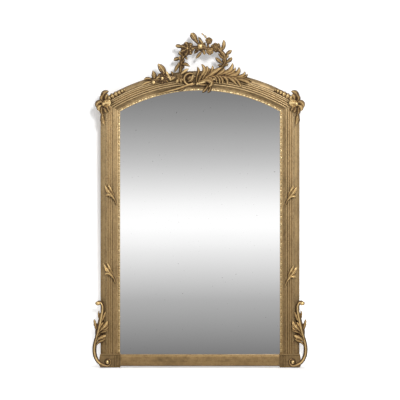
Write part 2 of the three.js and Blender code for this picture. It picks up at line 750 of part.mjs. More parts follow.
for (const [name, side] of Object.entries(SIDES)) {
  const to = outwards(side);
  const eye = [444 * side, 26, 58];
  const pieces = [
    // S-stem, from the foliage down and round under the eye of the volute
    stem(
      to([
        [489, 160, 50], [499, 132, 44], [506, 103, 38], [507, 79, 38], [503, 55, 44],
        [492, 34, 53], [476, 19, 59], [458, 11, 61], [442, 9, 60], [431, 17, 59],
        [428, 30, 58], [435, 40, 57], [445, 36, 57],
      ]),
      [9, 11.5, 13, 13, 11.5, 9.5, 8.5, 7, 5.5, 5, 4.5, 4, 4],
      { steps: 15 },
    ),
    bud(eye, [8, 10, 7.5]),
    // tall leaf whose tip rolls outwards
    stem(
      to([
        [496, 146, 48], [484, 187, 57], [475, 230, 62], [468, 268, 62], [467, 292, 60],
        [474, 309, 57], [485, 313, 53], [494, 307, 49],
      ]),
      [8, 9, 8.5, 7, 6, 6.5, 7.5, 6],
      { steps: 9 },
    ),
    bud([489 * side, 309, 50], [13, 8.5, 8.5]),
    leaf(to([[491, 160, 50], [480, 213, 58], [470, 256, 61], [462, 290, 57]]), 13, { widest: 0.55 }),
    leaf(to([[482, 223, 57], [485, 252, 59], [484, 274, 54]]), 5.5, { widest: 0.5 }),
    leaf(to([[477, 213, 60], [462, 242, 65], [453, 269, 59]]), 8, { widest: 0.55 }),
    leaf(to([[488, 168, 52], [500, 199, 52], [508, 233, 46]]), 9, { widest: 0.5 }),
    leaf(to([[491, 160, 54], [471, 184, 67], [453, 202, 69], [442, 226, 62]]), 14, { widest: 0.6 }),
    leaf(to([[472, 180, 60], [452, 184, 66], [438, 200, 60]]), 8, { widest: 0.55 }),
    leaf(to([[482, 165, 57], [458, 174, 65], [440, 180, 58]]), 8, { widest: 0.55 }),
    leaf(to([[504, 112, 43], [485, 137, 60], [465, 148, 67], [448, 156, 61]]), 12, { widest: 0.6 }),
    leaf(to([[503, 98, 40], [484, 122, 56], [466, 132, 62], [453, 141, 58]]), 9, { widest: 0.55 }),
    leaf(to([[494, 136, 50], [485, 175, 60], [478, 204, 63], [479, 225, 58]]), 9, { widest: 0.55 }),
    leaf(to([[487, 170, 56], [476, 199, 65], [462, 218, 62]]), 8, { widest: 0.5 }),
  ];
  const scroll = join(pieces).subtract(stileSeat(side));
  addPiece(`${name}_side_scroll`, scroll, BRIGHT_GILT);
}

// ------------------------------------------------------------------ stile sprigs
const SPRIG_PLACES = { left: [[405, 795], [410, 418]], right: [[413, 788], [413, 404]] };
const SPRIG_NAMES = ["upper", "lower"];

for (const [name, side] of Object.entries(SIDES)) {
  SPRIG_PLACES[name].forEach(([x0, z0], index) => {
    const to = (route) => route.map(([x, z, h]) => [side * (x0 + x), z0 + z, h]);
    const pieces = [
      leaf(to([[4, 22, 60], [1, 4, 61], [-7, -18, 58]]), 5),
      leaf(to([[1, 2, 60], [12, 38, 65], [22, 66, 68], [25, 90, 63]]), 7),
      leaf(to([[1, 0, 60], [16, 34, 66], [34, 62, 66], [52, 88, 57]]), 13),
      leaf(to([[4, 8, 60], [24, 34, 65], [42, 46, 60]]), 8),
      leaf(to([[1, 0, 60], [20, 18, 66], [36, 28, 64], [46, 22, 57]]), 8),
    ];
    const sprig = join(pieces).subtract(stileSeat(side));
    addPiece(`${name}_${SPRIG_NAMES[index]}_sprig`, sprig, BRIGHT_GILT);
  });
}

// ------------------------------------------------------------------ corner ornaments
// A cluster of curled leaves on the mitre, with a string of husks along the arch.
const HUSK_RADIUS = SIGHT_RADIUS + 81;
const HUSKS = [[31, 17], [29.8, 17], [28.5, 16], [27.4, 14], [26.4, 12], [25.5, 10]]; // [degrees, size]

/** Point on the string of husks: [x, z, h], `reach` along the arch from its place. */
function alongHusks(degrees, reach, h) {
  const turn = THREE.MathUtils.degToRad(degrees);
  const [sin, cos] = [Math.sin(turn), Math.cos(turn)];
  return [HUSK_RADIUS * sin - reach * cos, ARCH_CENTRE_Z + HUSK_RADIUS * cos + reach * sin, h];
}

for (const [name, side] of Object.entries(SIDES)) {
  const to = outwards(side);
  const [heart] = to([[459, 1263, 62]]);
  const pieces = [
    bud(heart, [12, 12, 9], { sides: 8 }),
    leaf(to([[456, 1267, 60], [467, 1296, 66], [457, 1317, 66], [435, 1325, 60]]), 9, { widest: 0.6 }),
    leaf(to([[448, 1274, 60], [451, 1297, 65], [438, 1311, 61]]), 7, { widest: 0.5 }),
    leaf(to([[460, 1264, 60], [472, 1288, 64], [468, 1309, 59]]), 8, { widest: 0.5 }),
    leaf(to([[456, 1260, 60], [477, 1271, 66], [492, 1262, 66], [493, 1242, 60]]), 8.5, { widest: 0.55 }),
    leaf(to([[460, 1255, 60], [475, 1256, 68], [485, 1247, 68], [481, 1231, 62]]), 7, { widest: 0.6 }),
    leaf(to([[463, 1259, 63], [446, 1266, 69], [432, 1261, 69], [424, 1245, 62]]), 12, { widest: 0.6 }),
    leaf(to([[458, 1255, 61], [440, 1246, 67], [439, 1228, 60]]), 8, { widest: 0.55 }),
    leaf(to([[460, 1259, 61], [458, 1233, 67], [451, 1217, 60]]), 7.5, { widest: 0.55 }),
    leaf(to([[462, 1259, 61], [472, 1231, 65], [466, 1212, 59]]), 7.5, { widest: 0.5 }),
    leaf(to([[461, 1246, 60], [468, 1212, 64], [459, 1190, 60]]), 7.5, { widest: 0.6 }),
    leaf(to([[465, 1216, 60], [471, 1194, 64], [467, 1176, 60]]), 7, { widest: 0.6 }),
    leaf(to([[465, 1202, 60], [465, 1183, 64], [458, 1164, 57]]), 7, { widest: 0.5 }),
    stem(
      to([[456, 1268, 60], ...HUSKS.map(([degrees]) => alongHusks(degrees, 0, 54))]),
      [8, 7, 6, 4],
      { steps: 6 },
    ),
    ...HUSKS.map(([degrees, size]) => {
      const reaches = [[-0.6, 52], [0.1, 59], [0.9, 54]];
      const route = reaches.map(([reach, h]) => alongHusks(degrees, reach * size, h));
      return leaf(to(route), size * 0.6, { widest: 0.7 });
    }),
  ];
  const seat = join([stileSeat(side), archSeat]);
  addPiece(`${name}_corner_ornament`, join(pieces).subtract(seat), BRIGHT_GILT);
}

// ------------------------------------------------------------------ crest
// The wreath stands on the arch behind the garland, scroll and spray, which lie on its face.
const WREATH_FRONT = 50; // flowers and fruit are planted on the wreath at this distance
const onWreath = box(-400, 400, 1300, 1700, -5, WREATH_FRONT + GAP);
const inFrontOfFeet = box(-400, 400, 1300, 1442, SIDE_DEPTH - 2, 200);
const inFrontOfWreath = box(-400, 400, 1300, 1700, WREATH_FRONT, 200);

const wreath = [
  stem(
    [
      [-95, 1415, 24], [-92, 1443, 28], [-91, 1466, 36], [-85, 1488, 42], [-84, 1509, 44],
      [-70, 1526, 45], [-43, 1535, 45], [-5, 1535, 45], [34, 1531, 45], [67, 1528, 45],
      [96, 1519, 44], [118, 1495, 42], [119, 1464, 36], [106, 1440, 28], [84, 1415, 24],
    ],
    [9, 10, 9, 9, 9.5, 10, 9, 9, 9, 10, 10, 9.5, 9.5, 10, 9],
    { steps: 18 },
  ),
  // outer and inner leaves, clockwise from the left foot
  leaf([[-94, 1461, 34], [-110, 1444, 38], [-123, 1420, 34]], 7),
  leaf([[-91, 1466, 35], [-115, 1454, 34], [-127, 1433, 30]], 5),
  leaf([[-91, 1454, 36], [-70, 1456, 42], [-49, 1444, 38]], 6.5),
  leaf([[-86, 1480, 40], [-110, 1482, 44], [-130, 1474, 40]], 7.5, { widest: 0.6 }),
  leaf([[-82, 1502, 42], [-68, 1492, 45], [-62, 1477, 42]], 4.5),
  leaf([[-85, 1497, 40], [-95, 1503, 42], [-106, 1509, 40]], 4),
  leaf([[-74, 1528, 42], [-98, 1542, 45], [-117, 1543, 42]], 8.5, { widest: 0.6 }),
  leaf([[-7, 1543, 44], [-29, 1582, 47], [-44, 1606, 42]], 13, { widest: 0.62 }),
  leaf([[2, 1535, 45], [0, 1568, 45], [-7, 1588, 40]], 6),
  leaf([[25, 1532, 45], [16, 1558, 47], [6, 1573, 45]], 5),
  leaf([[0, 1528, 45], [-14, 1516, 47], [-24, 1507, 44]], 5),
  leaf([[9, 1526, 46], [-5, 1502, 49], [-21, 1481, 45]], 5.5),
  leaf([[15, 1528, 46], [19, 1514, 48], [18, 1499, 45]], 5),
  stem([[36, 1560, 42], [31, 1580, 42], [17, 1596, 40], [6, 1608, 38]], [3, 2.4, 1.8, 1.2]),
  bud([26, 1588, 41], [4.5, 5.5, 4]),
  bud([11, 1601, 39], [3, 4, 3]),
  stem([[38, 1533, 44], [39, 1552, 43], [37, 1564, 42]], [7, 6, 5]),
  leaf([[103, 1516, 44], [114, 1545, 47], [113, 1574, 42]], 8.5),
  leaf([[82, 1526, 44], [89, 1541, 48], [84, 1557, 44]], 6),
  leaf([[117, 1501, 42], [136, 1510, 46], [153, 1524, 42]], 7.5, { widest: 0.55 }),
  leaf([[119, 1461, 38], [141, 1474, 43], [153, 1490, 40]], 7.5, { widest: 0.55 }),
  leaf([[117, 1476, 42], [103, 1493, 46], [86, 1507, 43]], 6.5),
  leaf([[114, 1454, 38], [92, 1471, 43], [73, 1489, 40]], 6.5, { widest: 0.55 }),
  leaf([[110, 1444, 34], [95, 1451, 37], [83, 1453, 34]], 4),
];
addPiece(
  "crest_wreath",
  join(wreath).subtract(join([archSeat, inFrontOfFeet, inFrontOfWreath])),
  GILT,
);

const planted = {
  crest_large_flower: [flower([-62, 1527, 56], 30, { petals: 10, depth: 0.8 })],
  crest_fruit: [bud([1, 1542, 57], [16, 12.5, 14], { sides: 12, rows: 8 })],
  crest_rose: [flower([48, 1516, 54], 15, { petals: 5, depth: 1.2 })],
  crest_small_rose: [flower([73, 1536, 53], 13, { petals: 5, turn: 0.6 })],
  crest_upper_rose: [flower([45, 1566, 52], 13, { petals: 5, turn: 0.3 })],
};
for (const [name, pieces] of Object.entries(planted)) {
  addPiece(name, join(pieces).subtract(onWreath), BRIGHT_GILT);
}

const archSeatAndWreath = archSeat.add(behindCrest);
const GARLAND_END = -123;
const SCROLL_END = -28;
const leftOf = (x) => box(x, x + 400, 1200, 1700, -10, 200);
const rightOf = (x) => box(x - 600, x, 1200, 1700, -10, 200);

const garland = [
  leaf([[-228, 1372, 57], [-260, 1366, 60], [-281, 1352, 56]], 6),
  leaf([[-228, 1380, 54], [-252, 1387, 56], [-269, 1379, 52]], 6),
  leaf([[-222, 1380, 54], [-221, 1402, 58], [-228, 1423, 52]], 12, { widest: 0.42 }),
  bud([-223, 1367, 58], [9, 10, 8]),
  leaf([[-167, 1386, 56], [-182, 1428, 62], [-202, 1456, 54]], 15, { widest: 0.5 }),
  leaf([[-142, 1389, 56], [-154, 1410, 60], [-166, 1424, 56]], 4),
  leaf([[-132, 1372, 58], [-144, 1390, 62], [-156, 1404, 58]], 4),
  flower([-202, 1388, 60], 13, { petals: 5 }),
  flower([-180, 1379, 60], 12, { petals: 5, turn: 0.5 }),
  stem([[-240, 1372, 56], [-202, 1381, 56], [-163, 1386, 56], [-125, 1394, 55]], [6, 9, 9, 5]),
  leaf([[-187, 1394, 58], [-163, 1389, 63], [-149, 1365, 58]], 8),
  leaf([[-115, 1396, 56], [-130, 1387, 60], [-147, 1372, 57]], 5),
  leaf([[-134, 1389, 52], [-132, 1408, 52], [-141, 1420, 48]], 6),
];
addPiece(
  "crest_garland",
  join(garland).subtract(join([archSeatAndWreath, leftOf(GARLAND_END)])),
  BRIGHT_GILT,
);

const leftScroll = [
  flower([-102, 1380, 60], 15, { petals: 6 }),
  // C-scroll with its eye, and the bar over it
  stem(
    [
      [-43, 1360, 56], [-34, 1380, 58], [-36, 1401, 60], [-54, 1407, 62], [-70, 1396, 62],
      [-70, 1378, 62], [-57, 1369, 62], [-45, 1379, 62], [-51, 1388, 62],
    ],
    [7, 7, 6, 6, 6, 5.5, 5, 4.5, 4],
    { steps: 13 },
  ),
  bud([-54, 1385, 62], [8, 8, 8]),
  stem([[-91, 1402, 56], [-74, 1418, 60], [-58, 1430, 58], [-43, 1420, 56], [-36, 1399, 56]], [4, 5, 5, 6, 6]),
  stem([[-96, 1381, 56], [-79, 1374, 60], [-62, 1362, 57]], [5, 4.5, 5]),
  stem([[-89, 1404, 57], [-99, 1395, 58], [-102, 1381, 58]], [4, 5, 5]),
  // the long stem that runs down the face of the arch to the left
  stem(
    [[-40, 1365, 56], [-67, 1351, 59], [-110, 1336, 59], [-163, 1322, 56], [-209, 1310, 52]],
    [9, 8, 6, 4.5, 3],
    { steps: 10 },
  ),
  leaf([[-67, 1343, 56], [-86, 1333, 56], [-105, 1326, 52]], 5),
];
addPiece(
  "crest_scroll",
  join(leftScroll).subtract(join([archSeatAndWreath, leftOf(SCROLL_END - GAP)])),
  BRIGHT_GILT,
);

// Acanthus spray: the route and half width of each frond along the main stem.
const spray = [
  stem(
    [
      [-17, 1357, 57], [14, 1368, 58], [48, 1378, 59], [86, 1385, 59], [134, 1388, 57],
      [182, 1383, 55], [221, 1376, 52],
    ],
    [9, 10, 10, 9, 8, 6, 4],
    { steps: 12 },
  ),
];
const FRONDS = [
  [[[-18, 1360, 58], [-15, 1394, 62], [-7, 1420, 62], [-14, 1443, 56]], 6.5],
  [[[-10, 1360, 59], [2, 1392, 63], [21, 1425, 64], [6, 1455, 57]], 9],
  [[[5, 1365, 59], [19, 1396, 62], [34, 1423, 62], [30, 1446, 56]], 9],
  [[[24, 1372, 59], [41, 1401, 62], [57, 1423, 61], [60, 1449, 54]], 8],
  [[[29, 1384, 60], [41, 1416, 62], [48, 1435, 56]], 5],
  [[[5, 1368, 60], [38, 1394, 65], [72, 1419, 65], [106, 1439, 60]], 10],
  [[[38, 1377, 60], [77, 1399, 65], [106, 1418, 66], [116, 1435, 61]], 8],
  [[[62, 1382, 59], [106, 1406, 63], [144, 1425, 62], [156, 1460, 54]], 10],
  [[[86, 1384, 59], [130, 1404, 63], [158, 1418, 62], [171, 1439, 55]], 7],
  [[[101, 1386, 58], [144, 1398, 63], [179, 1412, 61], [187, 1441, 53]], 10],
  [[[134, 1387, 57], [173, 1392, 60], [204, 1399, 58], [216, 1420, 51]], 8],
  [[[158, 1385, 56], [192, 1387, 57], [216, 1394, 55], [228, 1410, 51]], 6],
  [[[19, 1372, 61], [41, 1388, 66], [58, 1381, 66], [60, 1363, 60]], 7],
  [[[34, 1377, 61], [60, 1395, 66], [76, 1387, 67], [79, 1367, 60]], 7],
  [[[48, 1380, 61], [75, 1398, 67], [93, 1382, 67], [91, 1357, 60]], 7],
  [[[62, 1383, 61], [89, 1397, 67], [107, 1380, 67], [105, 1356, 60]], 7],
  [[[82, 1385, 61], [110, 1394, 66], [130, 1378, 66], [128, 1354, 58]], 8],
  [[[101, 1387, 61], [134, 1391, 65], [159, 1375, 64], [174, 1356, 57]], 7],
  [[[125, 1388, 60], [160, 1389, 63], [184, 1369, 61], [197, 1343, 55]], 7],
  [[[154, 1386, 57], [192, 1381, 60], [224, 1372, 58], [243, 1353, 52]], 8],
  [[[182, 1383, 55], [211, 1385, 56], [232, 1382, 54], [250, 1371, 51]], 5],
  [[[-5, 1370, 61], [29, 1377, 67], [55, 1365, 67], [40, 1343, 61]], 10],
  [[[40, 1358, 60], [30, 1339, 60], [11, 1320, 50]], 7],
  [[[51, 1357, 60], [50, 1338, 60], [36, 1319, 50]], 6.5],
  [[[43, 1356, 58], [5, 1356, 64], [-15, 1368, 59]], 6],
];
for (const [route, halfWidth] of FRONDS) {
  spray.push(leaf(route, halfWidth, { widest: 0.55, thick: 5 }));
}
addPiece(
  "crest_acanthus_spray",
  join(spray).subtract(join([archSeatAndWreath, rightOf(SCROLL_END)])),
  BRIGHT_GILT,
);

export default group;
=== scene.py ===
import math
import bpy
import numpy as np
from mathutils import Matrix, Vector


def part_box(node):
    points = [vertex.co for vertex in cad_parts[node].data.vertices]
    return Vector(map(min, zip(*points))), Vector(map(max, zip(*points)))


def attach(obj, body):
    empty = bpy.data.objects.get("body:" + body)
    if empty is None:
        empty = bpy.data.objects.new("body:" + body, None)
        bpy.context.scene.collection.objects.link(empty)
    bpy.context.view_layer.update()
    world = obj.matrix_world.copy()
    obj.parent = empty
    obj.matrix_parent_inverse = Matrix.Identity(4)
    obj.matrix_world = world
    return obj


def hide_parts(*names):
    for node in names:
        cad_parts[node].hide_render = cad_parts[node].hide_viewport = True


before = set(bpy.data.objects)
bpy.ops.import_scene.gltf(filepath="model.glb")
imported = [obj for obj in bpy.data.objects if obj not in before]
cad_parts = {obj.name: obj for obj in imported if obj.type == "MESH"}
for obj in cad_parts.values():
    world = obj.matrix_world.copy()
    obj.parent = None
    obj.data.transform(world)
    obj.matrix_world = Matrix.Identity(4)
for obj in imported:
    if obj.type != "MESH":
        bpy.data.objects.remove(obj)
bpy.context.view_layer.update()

# ----------------------------------------
# The camera: straight in front of the mirror at the middle of its height, far enough away
# that the frame shows almost no perspective.
FLOOR_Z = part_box("left_foot_block")[0][2]
EYE_HEIGHT = FLOOR_Z + 0.8035
EYE_DISTANCE = 8.0
FRONT_PLANE = -0.045
VIEW_WIDTH = 1.92
SENSOR_WIDTH = 36


def new_object(name, data):
    """An object in the scene that shows the data."""
    thing = bpy.data.objects.new(name, data)
    bpy.context.scene.collection.objects.link(thing)
    return thing


camera_data = bpy.data.cameras.new("front_camera")
camera_data.sensor_width = SENSOR_WIDTH
camera_data.lens = SENSOR_WIDTH * EYE_DISTANCE / VIEW_WIDTH
camera_data.clip_start, camera_data.clip_end = 0.1, 200
camera = new_object("front_camera", camera_data)
camera.location = (0, FRONT_PLANE - EYE_DISTANCE, EYE_HEIGHT)
camera.rotation_euler = (math.pi / 2, 0, 0)
bpy.context.scene.camera = camera
bpy.context.scene.view_settings.view_transform = "Standard"

# ----------------------------------------
# The room: a white wall that the mirror hangs on and a pale floor, both plain. The wall takes
# the frame's shadow and is seen only from the front, so the back can be looked at too. A glow
# painted on the wall grows towards the floor and fades that shadow there: painted light.
PAINT = (0.9, 0.9, 0.9)
WALL_GLOW, WALL_FOOT_GLOW, WALL_FADE_HEIGHT = 0.22, 0.62, 0.95
FLOOR_GLOW = 0.32
WALL_Y, BELOW_FEET = 0.002, 0.0005  # small gaps that keep the sheets off the mirror


def node_adder(tree):
    """The function that adds a node to the emptied tree. A setting that starts with in_ goes
    to the input of that name or number: an output is linked to it, a value is set, and a node
    stands for its first output. Colours are given as red, green and blue."""
    tree.nodes.clear()

    def add(kind, **settings):
        node = tree.nodes.new("ShaderNode" + kind)
        for key, value in settings.items():
            if not key.startswith("in_"):
                setattr(node, key, value)
                continue
            slot = key[3:]
            socket = node.inputs[int(slot) if slot.isdigit() else slot.replace("_", " ")]
            if isinstance(value, bpy.types.Node):
                value = value.outputs[0]
            if isinstance(value, bpy.types.NodeSocket):
                tree.links.new(value, socket)
            else:
                socket.default_value = (*value, 1) if socket.type == "RGBA" else value
        return node

    return add


def new_material(name):
    """An empty node material, the function that adds a node to it, and the place in space."""
    material = bpy.data.materials.new(name)
    material.use_nodes = True
    add = node_adder(material.node_tree)
    return material, add, add("TexCoord").outputs["Object"]


def height_of(add, place):
    """The height of a place in space."""
    return add("SeparateXYZ", in_0=place).outputs["Z"]


def seen_or_mirrored(add):
    """1 for what the camera sees directly or in a mirror, 0 for what only gives light."""
    rays = add("LightPath").outputs
    return add("Math", operation="MAXIMUM", in_0=rays["Is Camera Ray"], in_1=rays["Is Glossy Ray"])


def pale_surface(name, glow, one_sided, foot_glow=None):
    """Matt paint that the camera sees with `glow` added, so that it reads as plain white.
    `foot_glow`, if given, is the glow at the foot of the wall, a painted light that fades shadows
    there, and falls to `glow` higher up."""
    material, add, place = new_material(name)
    if foot_glow is not None:
        # painted light: more glow low on the wall, which fades the frame's shadow there
        glow = add("MapRange", in_Value=height_of(add, place), in_From_Max=WALL_FADE_HEIGHT,
                   in_To_Min=foot_glow, in_To_Max=glow)
    strength = add("Math", operation="MULTIPLY", in_0=seen_or_mirrored(add), in_1=glow)
    matt, light = add("BsdfDiffuse", in_Color=PAINT), add("Emission", in_Strength=strength)
    shader = add("AddShader", in_0=matt, in_1=light)
    if one_sided:
        behind = add("NewGeometry").outputs["Backfacing"]
        shader = add("MixShader", in_0=behind, in_1=shader, in_2=add("BsdfTransparent"))
    add("OutputMaterial", in_Surface=shader)
    return material


def stage_sheet(name, corners, faces, material):
    """Mesh that is only there for the picture."""
    mesh = bpy.data.meshes.new(name)
    mesh.from_pydata(corners, [], faces)
    mesh.materials.append(material)
    sheet = new_object(name, mesh)
    return sheet


wall_corners = [(x, WALL_Y, z) for x, z in ((-4, -0.5), (4, -0.5), (4, 4), (-4, 4))]
wall = stage_sheet("white_wall", wall_corners, [(0, 1, 2, 3)],
                   pale_surface("wall_paint", WALL_GLOW, one_sided=True, foot_glow=WALL_FOOT_GLOW))
wall.visible_shadow = wall.visible_diffuse = wall.visible_glossy = False
floor_corners = [(x, y, FLOOR_Z - BELOW_FEET) for x, y in ((-30, -30), (30, -30), (30, 30), (-30, 30))]
floor = stage_sheet("pale_floor", floor_corners, [(0, 1, 2, 3)],
                    pale_surface("floor_paint", FLOOR_GLOW, one_sided=False))
floor.visible_glossy = False

# ----------------------------------------
# The light: one large soft lamp to the upper right in front, a weak one behind for the back,
# and an even pale surround.
MIRROR_MIDDLE = np.array([0, 0, 0.8])
LAMP_DISTANCE = 6
LAMP_WAY = np.array([0.30, -0.82, 0.487])


def soft_lamp(name, place, size, power):
    """Square lamp turned to the middle of the mirror."""
    data = bpy.data.lights.new(name, "AREA")
    data.shape, data.size, data.energy = "SQUARE", size, power
    lamp = new_object(name, data)
    lamp.location = place
    way = MIRROR_MIDDLE - place
    tilt = math.acos(-way[2] / np.linalg.norm(way))
    lamp.rotation_euler = (tilt, 0, math.atan2(way[1], way[0]) - math.pi / 2)


soft_lamp("upper_right_lamp", MIRROR_MIDDLE + LAMP_DISTANCE * LAMP_WAY, size=1.5, power=228)
soft_lamp("back_lamp", np.array([-1.5, 5, 3.0]), size=2.0, power=120)

world = bpy.data.worlds.new("pale_surround")
bpy.context.scene.world = world
world.use_nodes = True
add = node_adder(world.node_tree)
level = add("MapRange", in_Value=seen_or_mirrored(add), in_To_Min=0.5, in_To_Max=1.0)
add("OutputWorld", in_Surface=add("Background", in_Strength=level))

# ----------------------------------------
# What the glass looks out on: a tall curved screen far behind the camera, brightest a little
# below the middle and grey above and below. Only reflections see it.
SCREEN_RADIUS = 12.0
SCREEN_TONES = [  # height above the eye in metres, brightness
    (-2.6, 0.13), (-1.836, 0.225), (-1.2, 0.478), (-0.624, 0.90), (-0.528, 0.985), (-0.336, 1.10),
    (-0.24, 1.10), (-0.144, 1.07), (-0.05, 1.02), (0.25, 0.765), (0.43, 0.623), (0.60, 0.515),
    (0.96, 0.34), (1.20, 0.257), (1.284, 0.237), (2.2, 0.2),
]


def ramp(add, value, stops):
    """Colour ramp over `value` with a colour at each of the stops (position, colour)."""
    node = add("ValToRGB", in_0=value)
    elements = node.color_ramp.elements
    while len(elements) < len(stops):
        elements.new(0.5)
    for element, (position, colour) in zip(elements, stops):
        element.position, element.color = position, (*colour, 1)
    return node


material, add, place = new_material("grey_screen")
low, high = SCREEN_TONES[0][0], SCREEN_TONES[-1][0]
height = add("MapRange", in_Value=height_of(add, place), in_From_Min=EYE_HEIGHT + low,
             in_From_Max=EYE_HEIGHT + high)
tones = ramp(add, height, [((rise - low) / (high - low), (tone,) * 3) for rise, tone in SCREEN_TONES])
add("OutputMaterial", in_Surface=add("Emission", in_Color=tones))

turns = np.radians(np.linspace(-110, 110, 45))
arc = np.stack([SCREEN_RADIUS * np.sin(turns), -SCREEN_RADIUS * np.cos(turns)], axis=1)
edges = [np.column_stack([arc, np.full(len(arc), EYE_HEIGHT + z)]) for z in (-3.2, 3.4)]
columns = np.arange(len(arc) - 1)
faces = np.stack([columns, columns + 1, columns + 1 + len(arc), columns + len(arc)], axis=1)
screen = stage_sheet("grey_screen", np.vstack(edges).tolist(), faces.tolist(), material)
screen.visible_camera = screen.visible_diffuse = screen.visible_shadow = False

# ----------------------------------------
# Stiles and arched rail: one reeded moulding in pine, coated with gesso and gilded, mitred at
# the two upper corners. The reeds, fillets and hollow run right round the glass. The flat of
# the back, against the wall, is bare wood.
SIGHT_HALF_WIDTH = 384
SIGHT_RADIUS = 780
ARCH_CENTRE_Z = 550
FACE_WIDTH = 94
BLOCK_TOP = 66
SIGHT_CORNER_Z = ARCH_CENTRE_Z + math.sqrt(SIGHT_RADIUS ** 2 - SIGHT_HALF_WIDTH ** 2)
OUTER_CORNER_Z = ARCH_CENTRE_Z + math.sqrt(
    (SIGHT_RADIUS + FACE_WIDTH) ** 2 - (SIGHT_HALF_WIDTH + FACE_WIDTH) ** 2)
MITRE_SLOPE = (OUTER_CORNER_Z - SIGHT_CORNER_Z) / FACE_WIDTH
REED_START, REED_PITCH, REED_COUNT, REED_VALLEY = 25, 9.5, 4, 51.5
LIP_BACK = 36  # back of the lip that the glass lies against
REBATE = [(32.3, 0), (32.3, 24), (10.3, 24), (10.3, LIP_BACK), (0, LIP_BACK)]  # steps for boards and glass
GAP = 0.3  # clearance between pieces that touch
ARC_RUN = 800  # mm of moulding to a radian of the arch
MITRE_GAP_TURN = 0.0003  # radians that the arch stops short of each mitre
SIDES = {"left": -1, "right": 1}
STILE_LIFT = {"left": 0.14, "right": 0.08}  # how much paler a stile's tone is made than the arch's, the left more than the right
WALL_FACING = 0.7  # least part of a face's direction that points at the wall on a bare back
WHITE = (1.0, 1.0, 1.0)
BOLE = (0.17, 0.075, 0.035)
CRACK_BROWN = (0.09, 0.06, 0.035)


def to_row(points):
    """Points [x, z above the feet, distance off the wall] in mm to the row frame in metres."""
    points = np.asarray(points, float)
    return np.stack([points[..., 0], -points[..., 2], points[..., 1] + FLOOR_Z * 1000], -1) / 1000


def skin(rings, relief, looped=False):
    """Closed skin over rings of points, shape (rings, points, 3): quads between neighbours,
    and a fan to the ring's own middle at each end, or the last ring joined to the first."""
    count, size = rings.shape[:2]
    steps = np.arange(count if looped else count - 1)[:, None]
    spots = np.arange(size)
    onward = (spots + 1) % size
    here, after = steps * size, (steps + 1) % count * size
    quads = np.stack([here + spots, here + onward, after + onward, after + spots], -1).reshape(-1, 4)
    points, tone = rings.reshape(-1, 3), np.broadcast_to(relief, rings.shape[:2]).reshape(-1)
    fans = np.zeros((0, 3), int)
    if not looped:
        end = (count - 1) * size
        first, last = np.full(size, count * size), np.full(size, count * size + 1)
        fans = np.vstack([
            np.stack([first, onward, spots], -1), np.stack([last, end + spots, end + onward], -1)])
        points = np.vstack([points, rings[0].mean(0), rings[-1].mean(0)])
        tone = np.append(tone, [tone[:size].mean(), tone[-size:].mean()])
    return points, quads, fans, tone


def turned_out(points, quads, fans):
    """The faces reversed if the volume that they close in comes out negative."""
    tris = np.vstack([quads[:, [0, 1, 2]], quads[:, [0, 2, 3]], fans])
    a, b, c = points[tris[:, 0]], points[tris[:, 1]], points[tris[:, 2]]
    if np.einsum("ij,ij->i", a, np.cross(b, c)).sum() < 0:
        return quads[:, ::-1], fans[:, ::-1]
    return quads, fans


def set_piece(name, shapes, material, nodes, side=1, crease=35, body="mirror", backing=None):
    """One mesh from several closed skins given in mm, mirrored in x where side is -1. Faces
    that look at the wall take the material `backing`, if there is one."""
    all_points, all_faces, all_tones, start = [], [], [], 0
    for points, quads, fans, tone in shapes:
        points = to_row(points * np.array([side, 1, 1]))
        quads, fans = turned_out(points - points.mean(0), quads, fans)
        all_points.append(points)
        all_tones.append(tone)
        all_faces += (quads + start).tolist() + (fans + start).tolist()
        start += len(points)
    mesh = bpy.data.meshes.new(name)
    mesh.from_pydata(np.vstack(all_points).tolist(), [], all_faces)
    mesh.attributes.new("relief", "FLOAT", "POINT").data.foreach_set(
        "value", np.clip(np.concatenate(all_tones), 0, 1).astype(np.float32))
    mesh.polygons.foreach_set("use_smooth", np.ones(len(mesh.polygons), bool))
    mesh.set_sharp_from_angle(angle=math.radians(crease))
    mesh.materials.append(material)
    if backing:
        mesh.materials.append(backing)
        normals = np.empty(3 * len(mesh.polygons), np.float32)
        mesh.polygons.foreach_get("normal", normals)
        mesh.polygons.foreach_set("material_index", (normals[1::3] > WALL_FACING).astype(np.int32))
    piece = new_object(name, mesh)
    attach(piece, body)
    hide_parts(*nodes)


def mixed(add, share, first, second, way="MIX"):
    """Colour `share` of the way from the first to the second, or the first times the second."""
    return add("Mix", data_type="RGBA", blend_type=way, in_Factor=share, in_6=first, in_7=second).outputs[2]


def coat(add, colour, roughness, metallic=0.0, dents=None, strength=0.5, depth=0.0007):
    """The material's surface. `dents`, if given, raises it by up to `depth` metres."""
    settings = dict(in_Base_Color=colour, in_Roughness=roughness, in_Metallic=metallic)
    if dents is not None:
        settings["in_Normal"] = add("Bump", in_Height=dents, in_Strength=strength, in_Distance=depth)
    add("OutputMaterial", in_Surface=add("BsdfPrincipled", **settings))


